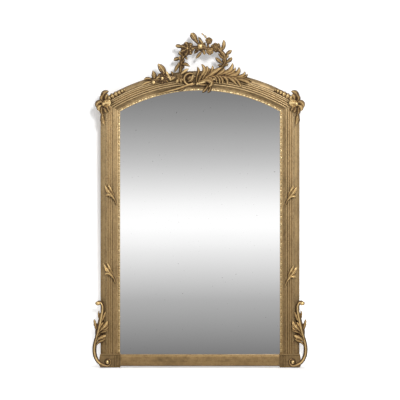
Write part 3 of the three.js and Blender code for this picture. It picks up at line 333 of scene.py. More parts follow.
def gilding(name, low, middle, high, at_foot=(0.58, 0.53, 0.44), rough=(0.62, 0.34), metallic=0.6,
            wear=0.5, crackle=0.5):
    """Gold leaf over red bole and gesso. The mesh's relief value, mottled by three noises,
    picks a colour from `low` to `high`: it carries painted shade in the hollows and a painted
    highlight on what sticks out. Worn spots on the high parts let the bole through, and fine
    cracks run through the gesso."""
    material, add, place = new_material(name)

    def noise(scale, detail=4.0):
        return add("TexNoise", in_Vector=place, in_Scale=scale, in_Detail=detail, in_Roughness=0.6)

    def maths(operation, first, second):
        return add("Math", operation=operation, in_0=first, in_1=second)

    # relief: painted shade in the hollows, painted highlight on what sticks out
    relief = add("Attribute", attribute_name="relief").outputs["Fac"]
    cloudy, rubbed, specks = noise(9.0), noise(70.0), noise(420.0, 2.0)
    mottled = relief
    for grain, amount in ((cloudy, 0.35), (rubbed, 0.45), (specks, 0.3)):
        mottled = maths("ADD", mottled, maths("MULTIPLY", maths("SUBTRACT", grain, 0.5), amount))
    tones = ramp(add, mottled, [(0.08, low), (0.5, middle), (0.92, high)])

    # the gilding is browner and darker towards the foot: partly its toning, partly painted shade for light
    # that falls from above
    height = add("MapRange", in_Value=height_of(add, place), in_From_Min=0.0, in_From_Max=1.35)
    toned = mixed(add, 1.0, tones, mixed(add, height, at_foot, WHITE), "MULTIPLY")

    # bole where the leaf is rubbed through, and cracks across the gesso
    rubbing = maths("MULTIPLY", noise(150.0, 3.0), maths("ADD", maths("MULTIPLY", relief, 0.35), 0.86))
    spots = add("MapRange", in_Value=rubbing, in_From_Min=0.62, in_From_Max=0.72)
    colour = mixed(add, maths("MULTIPLY", spots, wear), toned, BOLE)
    shake = add("TexNoise", in_Vector=place, in_Scale=30.0).outputs["Color"]
    shift = add("VectorMath", operation="SCALE", in_0=shake, in_3=0.02)
    bent = add("VectorMath", operation="ADD", in_0=place, in_1=shift)
    cells = add("TexVoronoi", feature="DISTANCE_TO_EDGE", in_Vector=bent, in_Scale=55.0, in_Randomness=1.0)
    crack = add("MapRange", in_Value=cells.outputs["Distance"], in_From_Min=0.0, in_From_Max=0.035,
                in_To_Min=1.0, in_To_Max=0.0)
    cracked = maths("MULTIPLY", crack, maths("MULTIPLY", cloudy, crackle))
    colour = mixed(add, cracked, colour, CRACK_BROWN)

    dull = add("MapRange", in_Value=mottled, in_To_Min=rough[0], in_To_Max=rough[1])
    pitted = maths("ADD", maths("MULTIPLY", rubbed, 0.6), maths("MULTIPLY", specks, 0.25))
    coat(add, colour, dull, metallic, maths("SUBTRACT", pitted, cracked))
    return material


def old_pine(name, grain, across, light, dark):
    """Sawn softwood: growth rings in bands across the axis `across`, drawn out along the
    grain, with fine fibre and grime. `grain` squeezes the pattern along x, y and z."""
    material, add, place = new_material(name)
    along = add("Mapping", in_Vector=place, in_Scale=grain)
    rings = add("TexWave", wave_type="BANDS", bands_direction=across, in_Vector=along, in_Scale=3.4,
                in_Distortion=7.0, in_Detail=3.0).outputs["Fac"]
    fibre = add("TexNoise", in_Vector=along, in_Scale=60.0, in_Detail=5.0)
    grime = add("TexNoise", in_Vector=place, in_Scale=5.0, in_Detail=4.0)
    shade = ramp(add, fibre, [(0.0, (0.45, 0.42, 0.40)), (1.0, WHITE)])
    cloud = ramp(add, grime, [(0.3, (0.42, 0.38, 0.34)), (0.7, WHITE)])
    wood = mixed(add, 0.5, mixed(add, rings, light, dark), shade, "MULTIPLY")
    dull = add("MapRange", in_Value=fibre, in_To_Min=0.72, in_To_Max=0.92)
    coat(add, mixed(add, 0.7, wood, cloud, "MULTIPLY"), dull, dents=fibre, strength=0.45, depth=0.0008)
    return material


def stretch(points, count):
    """More points along a broken line: `count` on each of its straight pieces."""
    points = np.asarray(points, float)
    share = np.linspace(0, 1, count, endpoint=False)[None, :, None]
    between = points[:-1, None] * (1 - share) + points[1:, None] * share
    return np.vstack([between.reshape(-1, 2), points[-1:]])


def reeded_section(reed_rise):
    """[u, h]: u outwards from the edge of the glass, h off the wall. The ogee is half a cosine
    wave, each reed an arch of a sine to the power 0.7, and the outer face falls as a cubic."""
    t = np.linspace(0, 1, 9)
    ogee = np.column_stack([10 + t * 15, 44 + 7.5 * (1 - np.cos(np.pi * t)) / 2])
    arch = t[:-1]
    rise = REED_VALLEY + reed_rise * np.sin(np.pi * arch) ** 0.7
    reeds = [np.column_stack([REED_START + REED_PITCH * (n + arch), rise]) for n in range(REED_COUNT)]
    fillet = [(63.2, 51.5), (63.5, 56.2), (64.2, 57), (67.2, 57), (68, 56.4), (68.2, 53.4)]
    cushion = np.column_stack([69.5 + 23.5 * t, 38 + 14 * (1 - 0.45 * t - 0.55 * t ** 3)])
    edge = [(93.6, 37.6), (94, 36.8)]
    back = stretch([(94, 36), (94, 0), *REBATE, (0, 41), (9, 41), (9, 43.4)], 3)
    return np.vstack([ogee, *reeds, fillet, cushion, edge, back])


def bump_at(s, middle, width):
    """Bell about `middle`."""
    return np.exp(-((s - middle) / width) ** 2)


def section_relief(section, reach=4.0):
    """How far each point of a section stands out of the mean height within `reach` mm, as a tone:
    a painted highlight where it stands out and painted shade where it lies under, less over the
    middle reeds and the outer face; lighter at the edge of the glass and darker at the outer edge."""
    near = bump_at(section[:, None, 0], section[None, :, 0], reach)
    front = (section[:, 1] > LIP_BACK + 0.5).astype(float)
    mean = (near * front * section[None, :, 1]).sum(1) / np.maximum((near * front).sum(1), 1e-6)
    # weight of the painted shade and highlight, less over the middle reeds and the outer face
    painted_shade = np.interp(section[:, 0], [0, 34, 42, 56, 62, 70, 94], [1, 1, 0.5, 0.5, 1, 0.8, 0.5])
    edge = np.interp(section[:, 0], [0, 9, 13, 34, 40, 72, 92], [0.3, 0.1, -0.2, -0.18, 0, 0, -0.3])
    return np.where(front > 0, 0.5 + edge + painted_shade * (section[:, 1] - mean) / 4.5, 0.3)


def hand_wave(along, across, size):
    """Slow unevenness of hand-scraped gesso: a sum of sines with fixed phases."""
    return size * (np.sin(along / 61.0 + across / 17.0) + 0.6 * np.sin(along / 23.0 - across / 9.0 + 1.3)
                   + 0.4 * np.sin(along / 9.7 + across / 5.0 + 4.0)) / 2


def scraped(section, along, across, size, above=44):
    """Heights of a moulding along its run: the section's own, lowered by the hand's wave where
    they are over `above`."""
    h = section[None, :, 1]
    return h + np.where(h > above, 1.0, 0.0) * (hand_wave(along, across, size) - size)


def mitre_turn(radius):
    """Angle off the top at which a circle about the arch's centre meets the mitre line."""
    slope = math.atan(MITRE_SLOPE)
    foot = SIGHT_CORNER_Z - SIGHT_HALF_WIDTH * MITRE_SLOPE - ARCH_CENTRE_Z
    return np.arccos(foot * math.cos(slope) / radius) - slope


def painted_shade_by(x, z, route, reach):
    """Painted shade in the angle between moulding and carving: a bell about the nearest point of a
    broken line [x, z] that runs under the carving."""
    spots = stretch(route, 12)
    gap = np.hypot(x[..., None] - spots[:, 0], z[..., None] - spots[:, 1]).min(-1)
    return -0.5 * np.exp(-(gap / reach) ** 4)


frame_gilt = gilding(
    "frame_gilding", low=(0.150, 0.098, 0.043), middle=(0.52, 0.362, 0.178), high=(0.76, 0.56, 0.30))
upright_pine = old_pine("upright_pine", (6.0, 6.0, 0.35), "X", (0.36, 0.235, 0.125), (0.25, 0.155, 0.08))
level_pine = old_pine("level_pine", (0.35, 6.0, 6.0), "Z", (0.38, 0.25, 0.135), (0.27, 0.168, 0.086))

section = reeded_section(4.2)
share = np.linspace(0, 1, 90)[:, None]
for name, side in SIDES.items():
    x = SIGHT_HALF_WIDTH + section[None, :, 0]
    mitre_z = SIGHT_CORNER_Z + (x - SIGHT_HALF_WIDTH) * MITRE_SLOPE
    z = BLOCK_TOP + GAP + share * (mitre_z - BLOCK_TOP - 2 * GAP)
    rings = np.stack([np.broadcast_to(x, z.shape), z, scraped(section, z + 400 * side, x, 0.3)], -1)
    tone = section_relief(section)[None, :] + hand_wave(z * 1.7, x, 0.08) + STILE_LIFT[name]
    set_piece(f"{name}_gilt_stile", [skin(rings, tone)], frame_gilt, [f"{name}_stile"], side,
              backing=upright_pine)

section = reeded_section(5.0)
radius = SIGHT_RADIUS + section[None, :, 0]
turn = (2 * np.linspace(0, 1, 121)[:, None] - 1) * (mitre_turn(radius) - MITRE_GAP_TURN)
x, z = radius * np.sin(turn), ARCH_CENTRE_Z + radius * np.cos(turn)
rings = np.stack([x, z, scraped(section, turn * ARC_RUN, radius, 0.3)], -1)
tone = section_relief(section)[None, :] + hand_wave(turn * 1.625 * ARC_RUN, radius, 0.08) - 0.08
under_carvings = [  # line under each carving, and half the width of the painted shade beside it
    ([(-20, 1366), (40, 1382), (110, 1394), (215, 1384)], 26),
    ([(-225, 1380), (-178, 1388), (-50, 1388)], 26),
    ([(-460, 1262), (-440, 1276)], 24),
    ([(460, 1262), (440, 1276)], 24),
]
# painted shade on the moulding round each carving
tone = tone + sum(painted_shade_by(x, z, route, reach) for route, reach in under_carvings)
set_piece("arched_gilt_rail", [skin(rings, tone)], frame_gilt, ["arched_top_rail"],
          backing=level_pine)

# ----------------------------------------
# Bottom rail: a lower, plainer length of the same gilded pine between the foot blocks, with a
# thin fillet above and below a slightly cushioned face.
RAIL_HALF_LENGTH = 382
SIGHT_BOTTOM = 62
t = np.linspace(0, 1, 15)
section = np.vstack([
    [(0, 41), (0, 45.4), (0.7, 46)],
    [(1.6, 48), (2.4, 48.5), (5.4, 48.5), (6, 48)],
    np.column_stack([7 + 39 * t, 49.6 + 1.6 * np.sin(np.pi * t)]),
    [(46.6, 51.6), (47.4, 52.5), (50.6, 52.5), (51.4, 51.8)],
    [(55.4, 46.6), (56, 45.6), (56, 30), (56, 0), *REBATE],
])
x = np.linspace(GAP - RAIL_HALF_LENGTH, RAIL_HALF_LENGTH - GAP, 121)[:, None]
z = np.broadcast_to(SIGHT_BOTTOM - section[None, :, 0], (121, len(section)))
rings = np.stack([np.broadcast_to(x, z.shape), z, scraped(section, x, z, 0.4, above=45.8)], -1)
# painted shade on the down-facing lower edge; the face is made lighter across its middle
painted_shade = np.interp(section[:, 0], [0, 5, 8, 15, 30, 44, 50, 53], [0, 0, 0.06, 0.12, 0.15, 0.13, 0.08, -0.4])
tone = section_relief(section, 3.0)[None, :] + hand_wave(x * 1.3, z, 0.1) - 0.04 + painted_shade
set_piece("gilt_bottom_rail", [skin(rings, tone)], frame_gilt, ["bottom_rail"],
          backing=level_pine)

# ----------------------------------------
# Foot blocks: square gilded blocks at the foot of the stiles, proud of them at the side, with
# a fillet along the top, flutes on the inner third and a sunk ring round the volute's eye.
BLOCK_INNER = RAIL_HALF_LENGTH + GAP
BLOCK_OUTER, BLOCK_HEAD = 483, 478  # outer edge, and where it leans in to at the top
BLOCK_FACE = 56.0
FLUTES = (387, 394, 401, 411)
FLUTE_RADIUS, FLUTE_TOP = 2.4, 61
FILLET_Z, FILLET_RISE = 61.2, 2.5
EYE_X, EYE_Z, EYE_RING, EYE_RING_DEPTH = 444, 26, 13, 2.2
WORN_DEPTH = 2.0


def from_eye(x, z):
    """Distance from the middle of the volute's eye, which is a little flattened."""
    return np.hypot(x - EYE_X, (z - EYE_Z) * 0.9)


def block_front(x, z):
    """Height of the block's front off the wall: the face, a raised fillet along the top, four
    half-round flutes, a worn lower edge, and a groove round the eye of the volute."""
    h = np.full(np.broadcast(x, z).shape, BLOCK_FACE)
    h = h + FILLET_RISE / (1 + np.exp(-(z - FILLET_Z) * 4)) * (x < BLOCK_OUTER - 4)
    for middle in FLUTES:
        hollow = np.sqrt(np.clip(1 - ((x - middle) / FLUTE_RADIUS) ** 2, 0, 1))
        h = h - FLUTE_RADIUS * hollow * (z < FLUTE_TOP)
    h = h - EYE_RING_DEPTH * bump_at(from_eye(x, z), EYE_RING, 2.6)
    return h - WORN_DEPTH * np.exp(-z / 2.5) + hand_wave(z * 2 + x, x, 0.3) - 0.2


# columns of points across the front, closer over the flutes, and rows up it
across = np.unique(np.concatenate([np.linspace(BLOCK_INNER, 420, 77), np.linspace(420, BLOCK_HEAD, 47)]))
up = np.linspace(0, BLOCK_TOP, 67)[:, None]
# the outer edge leans in above z 44 and below z 8
edge = np.interp(up, [0, 8, 44, 54, 66], [477, 483, 483, 481.5, 478])
x = BLOCK_INNER + (across - BLOCK_INNER)[None, :] * (edge - BLOCK_INNER) / (BLOCK_HEAD - BLOCK_INNER)
h = block_front(x, up)
around = sum(np.roll(h, step, axis) for axis in (0, 1) for step in (2, -2)) / 4
# painted highlight on what stands out, painted shade in the flutes and hollows and in the ring round the eye
tone = 0.34 + (h - around) / 2.0 - 0.3 * bump_at(from_eye(x, up), EYE_RING, 4)
# each ring goes across the front, down the outer side and back along the wall
front = np.stack([x, np.broadcast_to(up, x.shape), h], -1)
outer = front[:, -1:].repeat(4, 1)
outer[..., 2] *= np.linspace(0.8, 0.2, 4)
back = front[:, ::-1][:, ::6] * [1, 1, 0]
rings = np.concatenate([front, outer, back], 1)
tones = np.concatenate([tone, np.full((len(up), rings.shape[1] - x.shape[1]), 0.35)], 1)
for name, side in SIDES.items():
    set_piece(f"{name}_gilt_block", [skin(rings, tones)], frame_gilt, [f"{name}_foot_block"],
              side, backing=upright_pine)

# ----------------------------------------
# Sight beads: strings of an olive and a round pearl in turn, cast in composition, burnished
# and glued into the seat next to the glass. They stop at the foot blocks.
BEAD_PITCH = 32.0
OLIVE_HALF_WIDTH, PEARL_HALF_WIDTH, CORD_HALF_WIDTH = 4.3, 4.1, 1.9
BEAD_MIDDLE = SIGHT_HALF_WIDTH + 4.5
BEAD_SEAT = 41.3
STILE_BEAD_LENGTH = 1161.0
ARCH_BEAD_RADIUS = SIGHT_RADIUS + 3.9
ARCH_BEAD_REACH = math.asin(BEAD_MIDDLE / ARCH_BEAD_RADIUS) - 0.001
bead_gilt = gilding(
    "bead_gilding", low=(0.28, 0.165, 0.065), middle=(0.98, 0.71, 0.34), high=(1.0, 0.86, 0.52),
    rough=(0.5, 0.25), wear=0.35, crackle=0.2)


def bead_half_width(s):
    """Half width at distance s: an olive of 21 mm, a waist, a pearl of 8 mm, each half an
    ellipse, over a thin cord."""
    spot = np.mod(s, BEAD_PITCH)
    olive = OLIVE_HALF_WIDTH * np.sqrt(np.clip(1 - ((spot - 11) / 10.5) ** 2, 0, 1))
    pearl = PEARL_HALF_WIDTH * np.sqrt(np.clip(1 - ((spot - 27) / 4.2) ** 2, 0, 1))
    return np.maximum(np.maximum(olive, pearl), CORD_HALF_WIDTH)


def bead_string(length, lay):
    """Half-round string: at each distance s a half ellipse 1.35 times as high as it is wide."""
    s = np.arange(0, length, 1.0)[:, None]
    turn = np.linspace(0, np.pi, 9)[None, :]
    half = bead_half_width(s)
    rise = np.maximum(1.35 * half * np.sin(turn), 0)
    # painted highlight on the crown, strongest on the olives, and painted shade on the side towards the
    # glass
    tone = 0.18 + 0.6 * (half / OLIVE_HALF_WIDTH) * np.sin(turn) ** 0.5 - 0.25 * np.cos(turn)
    x, z = lay(s, -half * np.cos(turn))
    return skin(np.stack([x, z, BEAD_SEAT + rise], -1), tone)


def up_the_stile(s, off):
    """Place at distance s above the foot block, `off` outwards."""
    return BEAD_MIDDLE + off, BLOCK_TOP + 2 * GAP + s + 0 * off


def round_the_arch(s, off):
    """Place at distance s from the left end of the arch, `off` outwards."""
    turn = s / ARCH_BEAD_RADIUS - ARCH_BEAD_REACH + 0 * off
    return (ARCH_BEAD_RADIUS + off) * np.sin(turn), ARCH_CENTRE_Z + (ARCH_BEAD_RADIUS + off) * np.cos(turn)


for name, side in SIDES.items():
    set_piece(f"{name}_gilt_bead", [bead_string(STILE_BEAD_LENGTH, up_the_stile)], bead_gilt,
              [f"{name}_sight_bead"], side)
string = bead_string(2 * ARCH_BEAD_RADIUS * ARCH_BEAD_REACH, round_the_arch)
set_piece("arched_gilt_bead", [string], bead_gilt, ["arch_sight_bead"])

# ----------------------------------------
# The glass: one old silvered plate with an arched top, with a faint bloom and a few dark
# specks in the silvering.


def paint(node, material):
    """Gives a piece that is shown as it is its own material."""
    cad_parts[node].data.materials.clear()
    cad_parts[node].data.materials.append(material)


material, add, place = new_material("old_silvering")
bloom = add("TexNoise", in_Vector=place, in_Scale=3.0, in_Detail=3.0)
specks = add("TexNoise", in_Vector=place, in_Scale=120.0, in_Detail=2.0)
clean = ramp(add, bloom, [(0.0, (0.893,) * 3), (1.0, (0.929,) * 3)])
spot = add("MapRange", in_Value=specks, in_From_Min=0.74, in_From_Max=0.80)
haze = add("MapRange", in_Value=bloom, in_To_Min=0.004, in_To_Max=0.018)
coat(add, mixed(add, spot, clean, (0.35, 0.34, 0.33)), haze, metallic=1.0)
paint("mirror_glass", material)

# ----------------------------------------
# Pine in the back: the loose keys across the mitres, the blocks that wedge the glass, four
# thin backboards, and the crossbar screwed across them. Bare, browned with age, never gilded.
for node in ("left_lower_backboard", "middle_lower_backboard", "right_lower_backboard",
             "left_glazing_block_1", "left_glazing_block_2", "right_glazing_block_1",
             "right_glazing_block_2"):
    paint(node, upright_pine)
for node in ("upper_backboard", "rear_crossbar", "left_mitre_key", "right_mitre_key"):
    paint(node, level_pine)

# ----------------------------------------
# Hangers: two wrought iron straps screwed to the crossbar, each with a knuckle that holds a
# D-ring of round wire. The rings swing on their straight bars.
RING_X = 250
RING_AXIS_HEIGHT = 1157
RING_AXIS_OFF_WALL = 6.9
WIRE_RADIUS = 2.0
BAR_HALF_LENGTH, BOW_HALF_WIDTH, BOW_TOP, BOW_DROP = 11, 14.5, 5, 19
RUST = (0.16, 0.065, 0.03)


def dull_metal(name, dark, light, rough, metallic, rust):
    """Worn metal: two greys mottled by noise, with rust where a coarser noise is high."""
    material, add, place = new_material(name)
    mottle = add("TexNoise", in_Vector=place, in_Scale=260.0, in_Detail=4.0)
    patches = add("TexNoise", in_Vector=place, in_Scale=70.0, in_Detail=5.0, in_Roughness=0.65)
    rusty = add("MapRange", in_Value=patches, in_From_Min=0.52, in_From_Max=0.66, in_To_Max=rust)
    dull = add("MapRange", in_Value=patches, in_To_Min=rough, in_To_Max=rough + 0.3)
    coat(add, mixed(add, rusty, mixed(add, mottle, dark, light), RUST), dull, metallic, mottle, 0.4, 0.0003)
    return material


def full_turn(count):
    """Angles of `count` points round a circle."""
    return np.linspace(0, 2 * np.pi, count, endpoint=False)[None, :]


def round_wire(middles, radius):
    """Wire of round section along a closed line in a plane square to the wall's normal."""
    run = np.roll(middles, -1, 0) - np.roll(middles, 1, 0)
    run /= np.linalg.norm(run, axis=1, keepdims=True)
    out = np.stack([run[:, 1], -run[:, 0]], -1)
    turn = full_turn(10)
    flat = middles[:, None, :] + radius * np.cos(turn)[..., None] * out[:, None, :]
    h = np.broadcast_to(RING_AXIS_OFF_WALL + radius * np.sin(turn), flat.shape[:2])
    return skin(np.concatenate([flat, h[..., None]], -1), 0.5, looped=True)


iron = dull_metal("wrought_iron", (0.05, 0.045, 0.042), (0.13, 0.12, 0.11), 0.45, 0.85, 0.55)
bar = np.column_stack([np.linspace(-BAR_HALF_LENGTH, BAR_HALF_LENGTH, 9), np.zeros(9)])
turns = np.linspace(0, np.pi, 33)
bow = np.column_stack([BOW_HALF_WIDTH * np.cos(turns), -BOW_TOP - BOW_DROP * np.sin(turns)])
ring_line = np.vstack([bar, [(12.3, -0.4), (13.5, -1.6)], bow, [(-13.5, -1.6), (-12.3, -0.4)]])
for name, side in SIDES.items():
    wire = round_wire(ring_line + [side * RING_X, RING_AXIS_HEIGHT], WIRE_RADIUS)
    set_piece(f"{name}_iron_ring", [wire], iron, [f"{name}_hanging_ring"], crease=60,
              body=f"{name}_ring")
    paint(f"{name}_hanger_strap", iron)

# ----------------------------------------
# Wood screws of dull steel with domed, slotted heads: four hold the crossbar to the stiles
# and two hold each strap.
CROWN_POINTS = 10  # points from the middle of a head to its edge
SLOT_HALF_WIDTH, SLOT_DEPTH = 0.55, 0.9
steel = dull_metal("screw_steel", (0.17, 0.16, 0.15), (0.34, 0.33, 0.31), 0.35, 0.95, 0.4)


def slotted_screw(x, z, slot_turn, head_back, head_radius, shank_radius, head_height, length):
    """A profile turned about the screw's axis, from the middle of the head out and down the
    shank. Points of the head that are near the slot's line are sunk by its depth."""
    crown = np.linspace(0, 1, CROWN_POINTS)
    head = np.column_stack([0.05 + (head_radius - 0.05) * crown, head_back + 0.5 * head_height * crown ** 2])
    rest = [(head_radius, head_back + 0.62 * head_height), (shank_radius, head_back + head_height),
            (shank_radius, head_back + 0.75 * length), (0.15, head_back + length)]
    profile = np.vstack([head, rest])
    turn = full_turn(40)
    radius, h = profile[:, :1], profile[:, 1:] + 0 * turn
    off_line = np.abs(radius * np.sin(turn - slot_turn))
    is_head = (np.arange(len(profile)) < CROWN_POINTS)[:, None]
    h = h + np.where(is_head & (off_line < SLOT_HALF_WIDTH), SLOT_DEPTH, 0.0)
    return skin(np.stack([x + radius * np.cos(turn), z + radius * np.sin(turn), h], -1), 0.5)


for name, node, half_span, heights, turn_step, sizes in (
    ("crossbar", "crossbar", 405, (1113, 1147), 0.7, (12.0, 4.4, 2.0, 2.3, 30)),
    ("strap", "hanger", RING_X, (1121, 1107), 1.1, (7.6, 4.0, 1.75, 1.8, 13)),
):
    for number, (x, z) in enumerate([(x, z) for x in (-half_span, half_span) for z in heights], 1):
        screw = slotted_screw(x, z, turn_step * number, *sizes)
        set_piece(f"{name}_slotted_screw_{number}", [screw], steel, [f"{node}_screw_{number}"],
                  crease=40)

# ----------------------------------------
# Side scrolls: S-shaped, carved in lime wood and gilded. A channelled stem leaves a sheaf of
# acanthus leaves beside the stile and rolls into a volute on the foot block, which holds its
# eye. Glued and pinned to the stile and block. Written for the right side.
# grid square and reach of the painted shade and highlight on carvings
SHADE_SQUARE, SHADE_REACH = 3, 6.0
ornament_gilt = gilding(
    "ornament_gilding", low=(0.082, 0.043, 0.018), middle=(0.46, 0.295, 0.120), high=(1.0, 0.745, 0.36),
    at_foot=(0.92, 0.88, 0.80), rough=(0.5, 0.24), metallic=0.5, wear=0.3, crackle=0.1)


def spine(points, t):
    """Smooth curve through the points, read at shares t of the way. Each piece is a cubic
    whose slope at a point is half the step from the point before to the point after."""
    points = np.asarray(points, float)
    last = len(points) - 1
    slope = np.empty_like(points)
    slope[1:-1] = (points[2:] - points[:-2]) / 2
    slope[0] = (-3 * points[0] + 4 * points[1] - points[2]) / 2
    slope[-1] = (3 * points[-1] - 4 * points[-2] + points[-3]) / 2
    spot = np.clip(t, 0, 1) * last
    piece = np.minimum(spot.astype(int), last - 1)
    f = (spot - piece)[..., None]
    return (points[piece] * (2 * f ** 3 - 3 * f ** 2 + 1) + slope[piece] * (f ** 3 - 2 * f ** 2 + f)
            + points[piece + 1] * (3 * f ** 2 - 2 * f ** 3) + slope[piece + 1] * (f ** 3 - f ** 2))


def ways(points, t):
    """Unit directions across the spine in the plane of the wall, and out of its face."""
    run = spine(points, np.minimum(t + 0.01, 1)) - spine(points, np.maximum(t - 0.01, 0))
    across = np.cross(run, [0.0, 0.0, 1.0])
    across /= np.linalg.norm(across, axis=-1, keepdims=True)
    face = np.cross(across, run)
    return across, face / np.linalg.norm(face, axis=-1, keepdims=True)


def beside(points, t, out, up):
    """Points `out` to the side of a spine and `up` off its face."""
    across, face = ways(points, t)
    return spine(points, t) + across * out[..., None] + face * up[..., None]


def leaf(points, half, widest=0.45, thick=4.0, root=0.35, lobes=0, blunt=0.7, cup=0.0, count=16,
         shade=0.0):
    """Carved leaf along a spine. Its half width is half * sin(pi t^p)^blunt. Its front falls
    from the middle to the edges as 1 - |s|^2.2, with a midrib, a gutter on either side, and
    veins slanting to the tip; `lobes` notches cut into its edge. The back is nearly flat. The
    tone carries a painted highlight along the ridge and towards the tip, and painted shade in
    the gutters, along the edges and at the root."""
    t = np.linspace(0, 0.985, count)[:, None]
    s = np.linspace(-1, 1, 17)[None, :]
    swell = np.sin(np.pi * t ** (math.log(0.5) / math.log(widest))) ** blunt
    width = half * np.maximum(np.maximum(swell, root * (1 - t)), 0.03)
    notch = 0.0
    if lobes:
        notch = np.cos(np.pi * lobes * t + 0.5) ** 6 * np.sin(np.pi * np.clip(t * 1.1, 0, 1)) ** 0.5
    side = np.abs(s)
    reach = width * s * (1 - 0.34 * notch * side ** 2.5)
    midrib, gutter, cheek = bump_at(s, 0, 0.13), bump_at(side, 0.33, 0.14), bump_at(side, 0.66, 0.2)
    veins = np.cos(2 * np.pi * ((lobes or 5) * t - 0.9 * side)) * side * (1 - side) * 4
    carved = 0.10 * midrib - 0.17 * gutter + 0.08 * cheek + 0.06 * veins
    rise = -0.4 * thick + (thick + 0.2 * width) * (1 - side ** 2.2)
    rise = rise + width * (carved * np.sin(np.pi * np.clip(t, 0.04, 1)) ** 0.4 + cup * s ** 2 * (1 - s ** 6))
    along = np.clip(t + 0.05 * s ** 2 * (1 - t), 0, 1)
    front = beside(points, along, reach, rise)
    # painted highlight on the ridge and the tip, painted shade in the gutters, at the edges and at the root
    tone = (shade + 0.15 + 0.34 * t ** 1.3 + 0.30 * bump_at(s, 0.05, 0.38) - 0.12 * gutter
            + 0.06 * veins - 0.60 * side ** 4)
    under = np.linspace(1, -1, 9)[None, 1:-1]
    back = beside(points, t, width * under, -0.4 * thick - 0.9 * (1 - under ** 2))
    return skin(np.concatenate([front, back], 1), np.concatenate([tone, np.full(back.shape[:2], 0.08)], 1))


def stem(points, radii, ribs=0, deep=0.12, shade=0.0):
    """Stem of round section. Its radius runs evenly through `radii`, and `ribs` rounded lines
    stand up along its front, between grooves `deep` of the radius."""
    count = 5 * len(points) + 4
    t = np.linspace(0, 1, count)[:, None]
    radius = np.interp(t, np.linspace(0, 1, len(radii)), radii)
    turn = full_turn(20)
    front = np.clip(np.sin(turn), 0, 1) ** 0.5
    wave = np.cos(ribs * (turn - np.pi / 2) * 2) if ribs else np.cos(3 * turn + 9 * t) * 0.3
    out = radius * (1 - deep * (0.5 - 0.5 * wave) * front)
    ring = beside(points, t, out * np.cos(turn), out * np.sin(turn))
    # painted highlight on the front and on the ribs, painted shade in the grooves and at the sides
    tone = shade + 0.02 + 0.46 * front ** 4 + (0.24 if ribs else 0.08) * wave * front
    return skin(ring, tone)


def bud(centre, halves, creases=5, shade=0.0):
    """Bud or berry: an ellipsoid about the line towards the viewer, drawn in by an eighth
    along `creases` lines that run from its back to its front."""
    lift = np.linspace(0.06, np.pi - 0.06, 12)[:, None]
    turn = full_turn(30)
    crease = (1 - np.abs(np.sin(creases * turn / 2))) ** 2 * np.sin(lift)
    out = (1 - 0.12 * crease) * np.sin(lift)
    ball = np.stack([out * np.cos(turn), out * np.sin(turn), 0 * turn - np.cos(lift)], -1)
    ring = ball * halves + centre
    # painted highlight on the front, painted shade towards the back and in the creases
    tone = shade + 0.30 - 0.40 * np.cos(lift) - 0.4 * crease
    return skin(ring, tone)


def flower(centre, radius, petals=6, turn=0.0, depth=1.0, rows=2, shade=0.0):
    """Open flower: rows of cupped, blunt petals round a creased bud. A petal's spine rises
    from the middle, arches over at two thirds of its reach, and comes down at its lip."""
    centre = np.array(centre, float)
    shapes = []
    for row in range(rows):
        scale, lift, count = 1 - 0.32 * row, 0.16 * row, petals - (row if petals > 6 else 0)
        for number in range(count):
            way = turn + 2 * np.pi * (number + 0.5 * row) / count
            out = np.array([math.cos(way), math.sin(way), 0])
            up = np.array([0, 0, 1.0])
            line = [centre + radius * (a * scale * out + (b + lift) * depth * up)
                    for a, b in ((0.12, -0.05), (0.62, 0.26), (1.04, 0.02))]
            half = radius * scale * math.sin(np.pi / count) * 0.98
            shapes.append(leaf(line, half, widest=0.62, thick=0.1 * radius, root=0.5, blunt=0.42, cup=0.3,
                               count=12, shade=shade))
    heart = radius * depth * (0.14 + 0.08 * rows)
    shapes.append(bud(centre + [0, 0, heart], (radius * 0.25,) * 3, shade=shade))
    return shapes


def painted_shade_and_highlight(shapes, strength):
    """Painted shade where a point lies lower than the carving round it, and a painted highlight
    where it stands higher: the highest point in each small square is blurred by a bell, and the
    tone follows how far a point stands over that mean, or lies under it."""
    points = np.vstack([shape[0] for shape in shapes])
    cell = np.round((points[:, :2] - points[:, :2].min(0)) / SHADE_SQUARE).astype(int) + 7
    top = np.zeros(cell.max(0) + 8)
    np.maximum.at(top, (cell[:, 0], cell[:, 1]), points[:, 2])
    bell = bump_at(np.arange(-6, 7) * SHADE_SQUARE, 0, SHADE_REACH)
    sums = [top, (top > 0).astype(float)]
    for axis in (0, 1):
        sums = [np.apply_along_axis(np.convolve, axis, grid, bell, "same") for grid in sums]
    mean = sums[0] / np.maximum(sums[1], 1e-6)
    shift = strength * np.clip((points[:, 2] - mean[cell[:, 0], cell[:, 1]]) / 5, -1, 0.35)
    parts = np.split(shift, np.cumsum([len(shape[0]) for shape in shapes])[:-1])
    return [(*shape[:3], shape[3] + part) for shape, part in zip(shapes, parts)]


def set_carving(name, shapes, node, side=1, painted_shade=0.55):
    """Gilded carving for one CAD piece. A flower among its shapes is itself a list of shapes."""
    flat = [one for shape in shapes for one in (shape if isinstance(shape, list) else [shape])]
    # painted shade in the carving's hollows and painted highlight on what stands out
    set_piece(name, painted_shade_and_highlight(flat, painted_shade), ornament_gilt, [node], side)


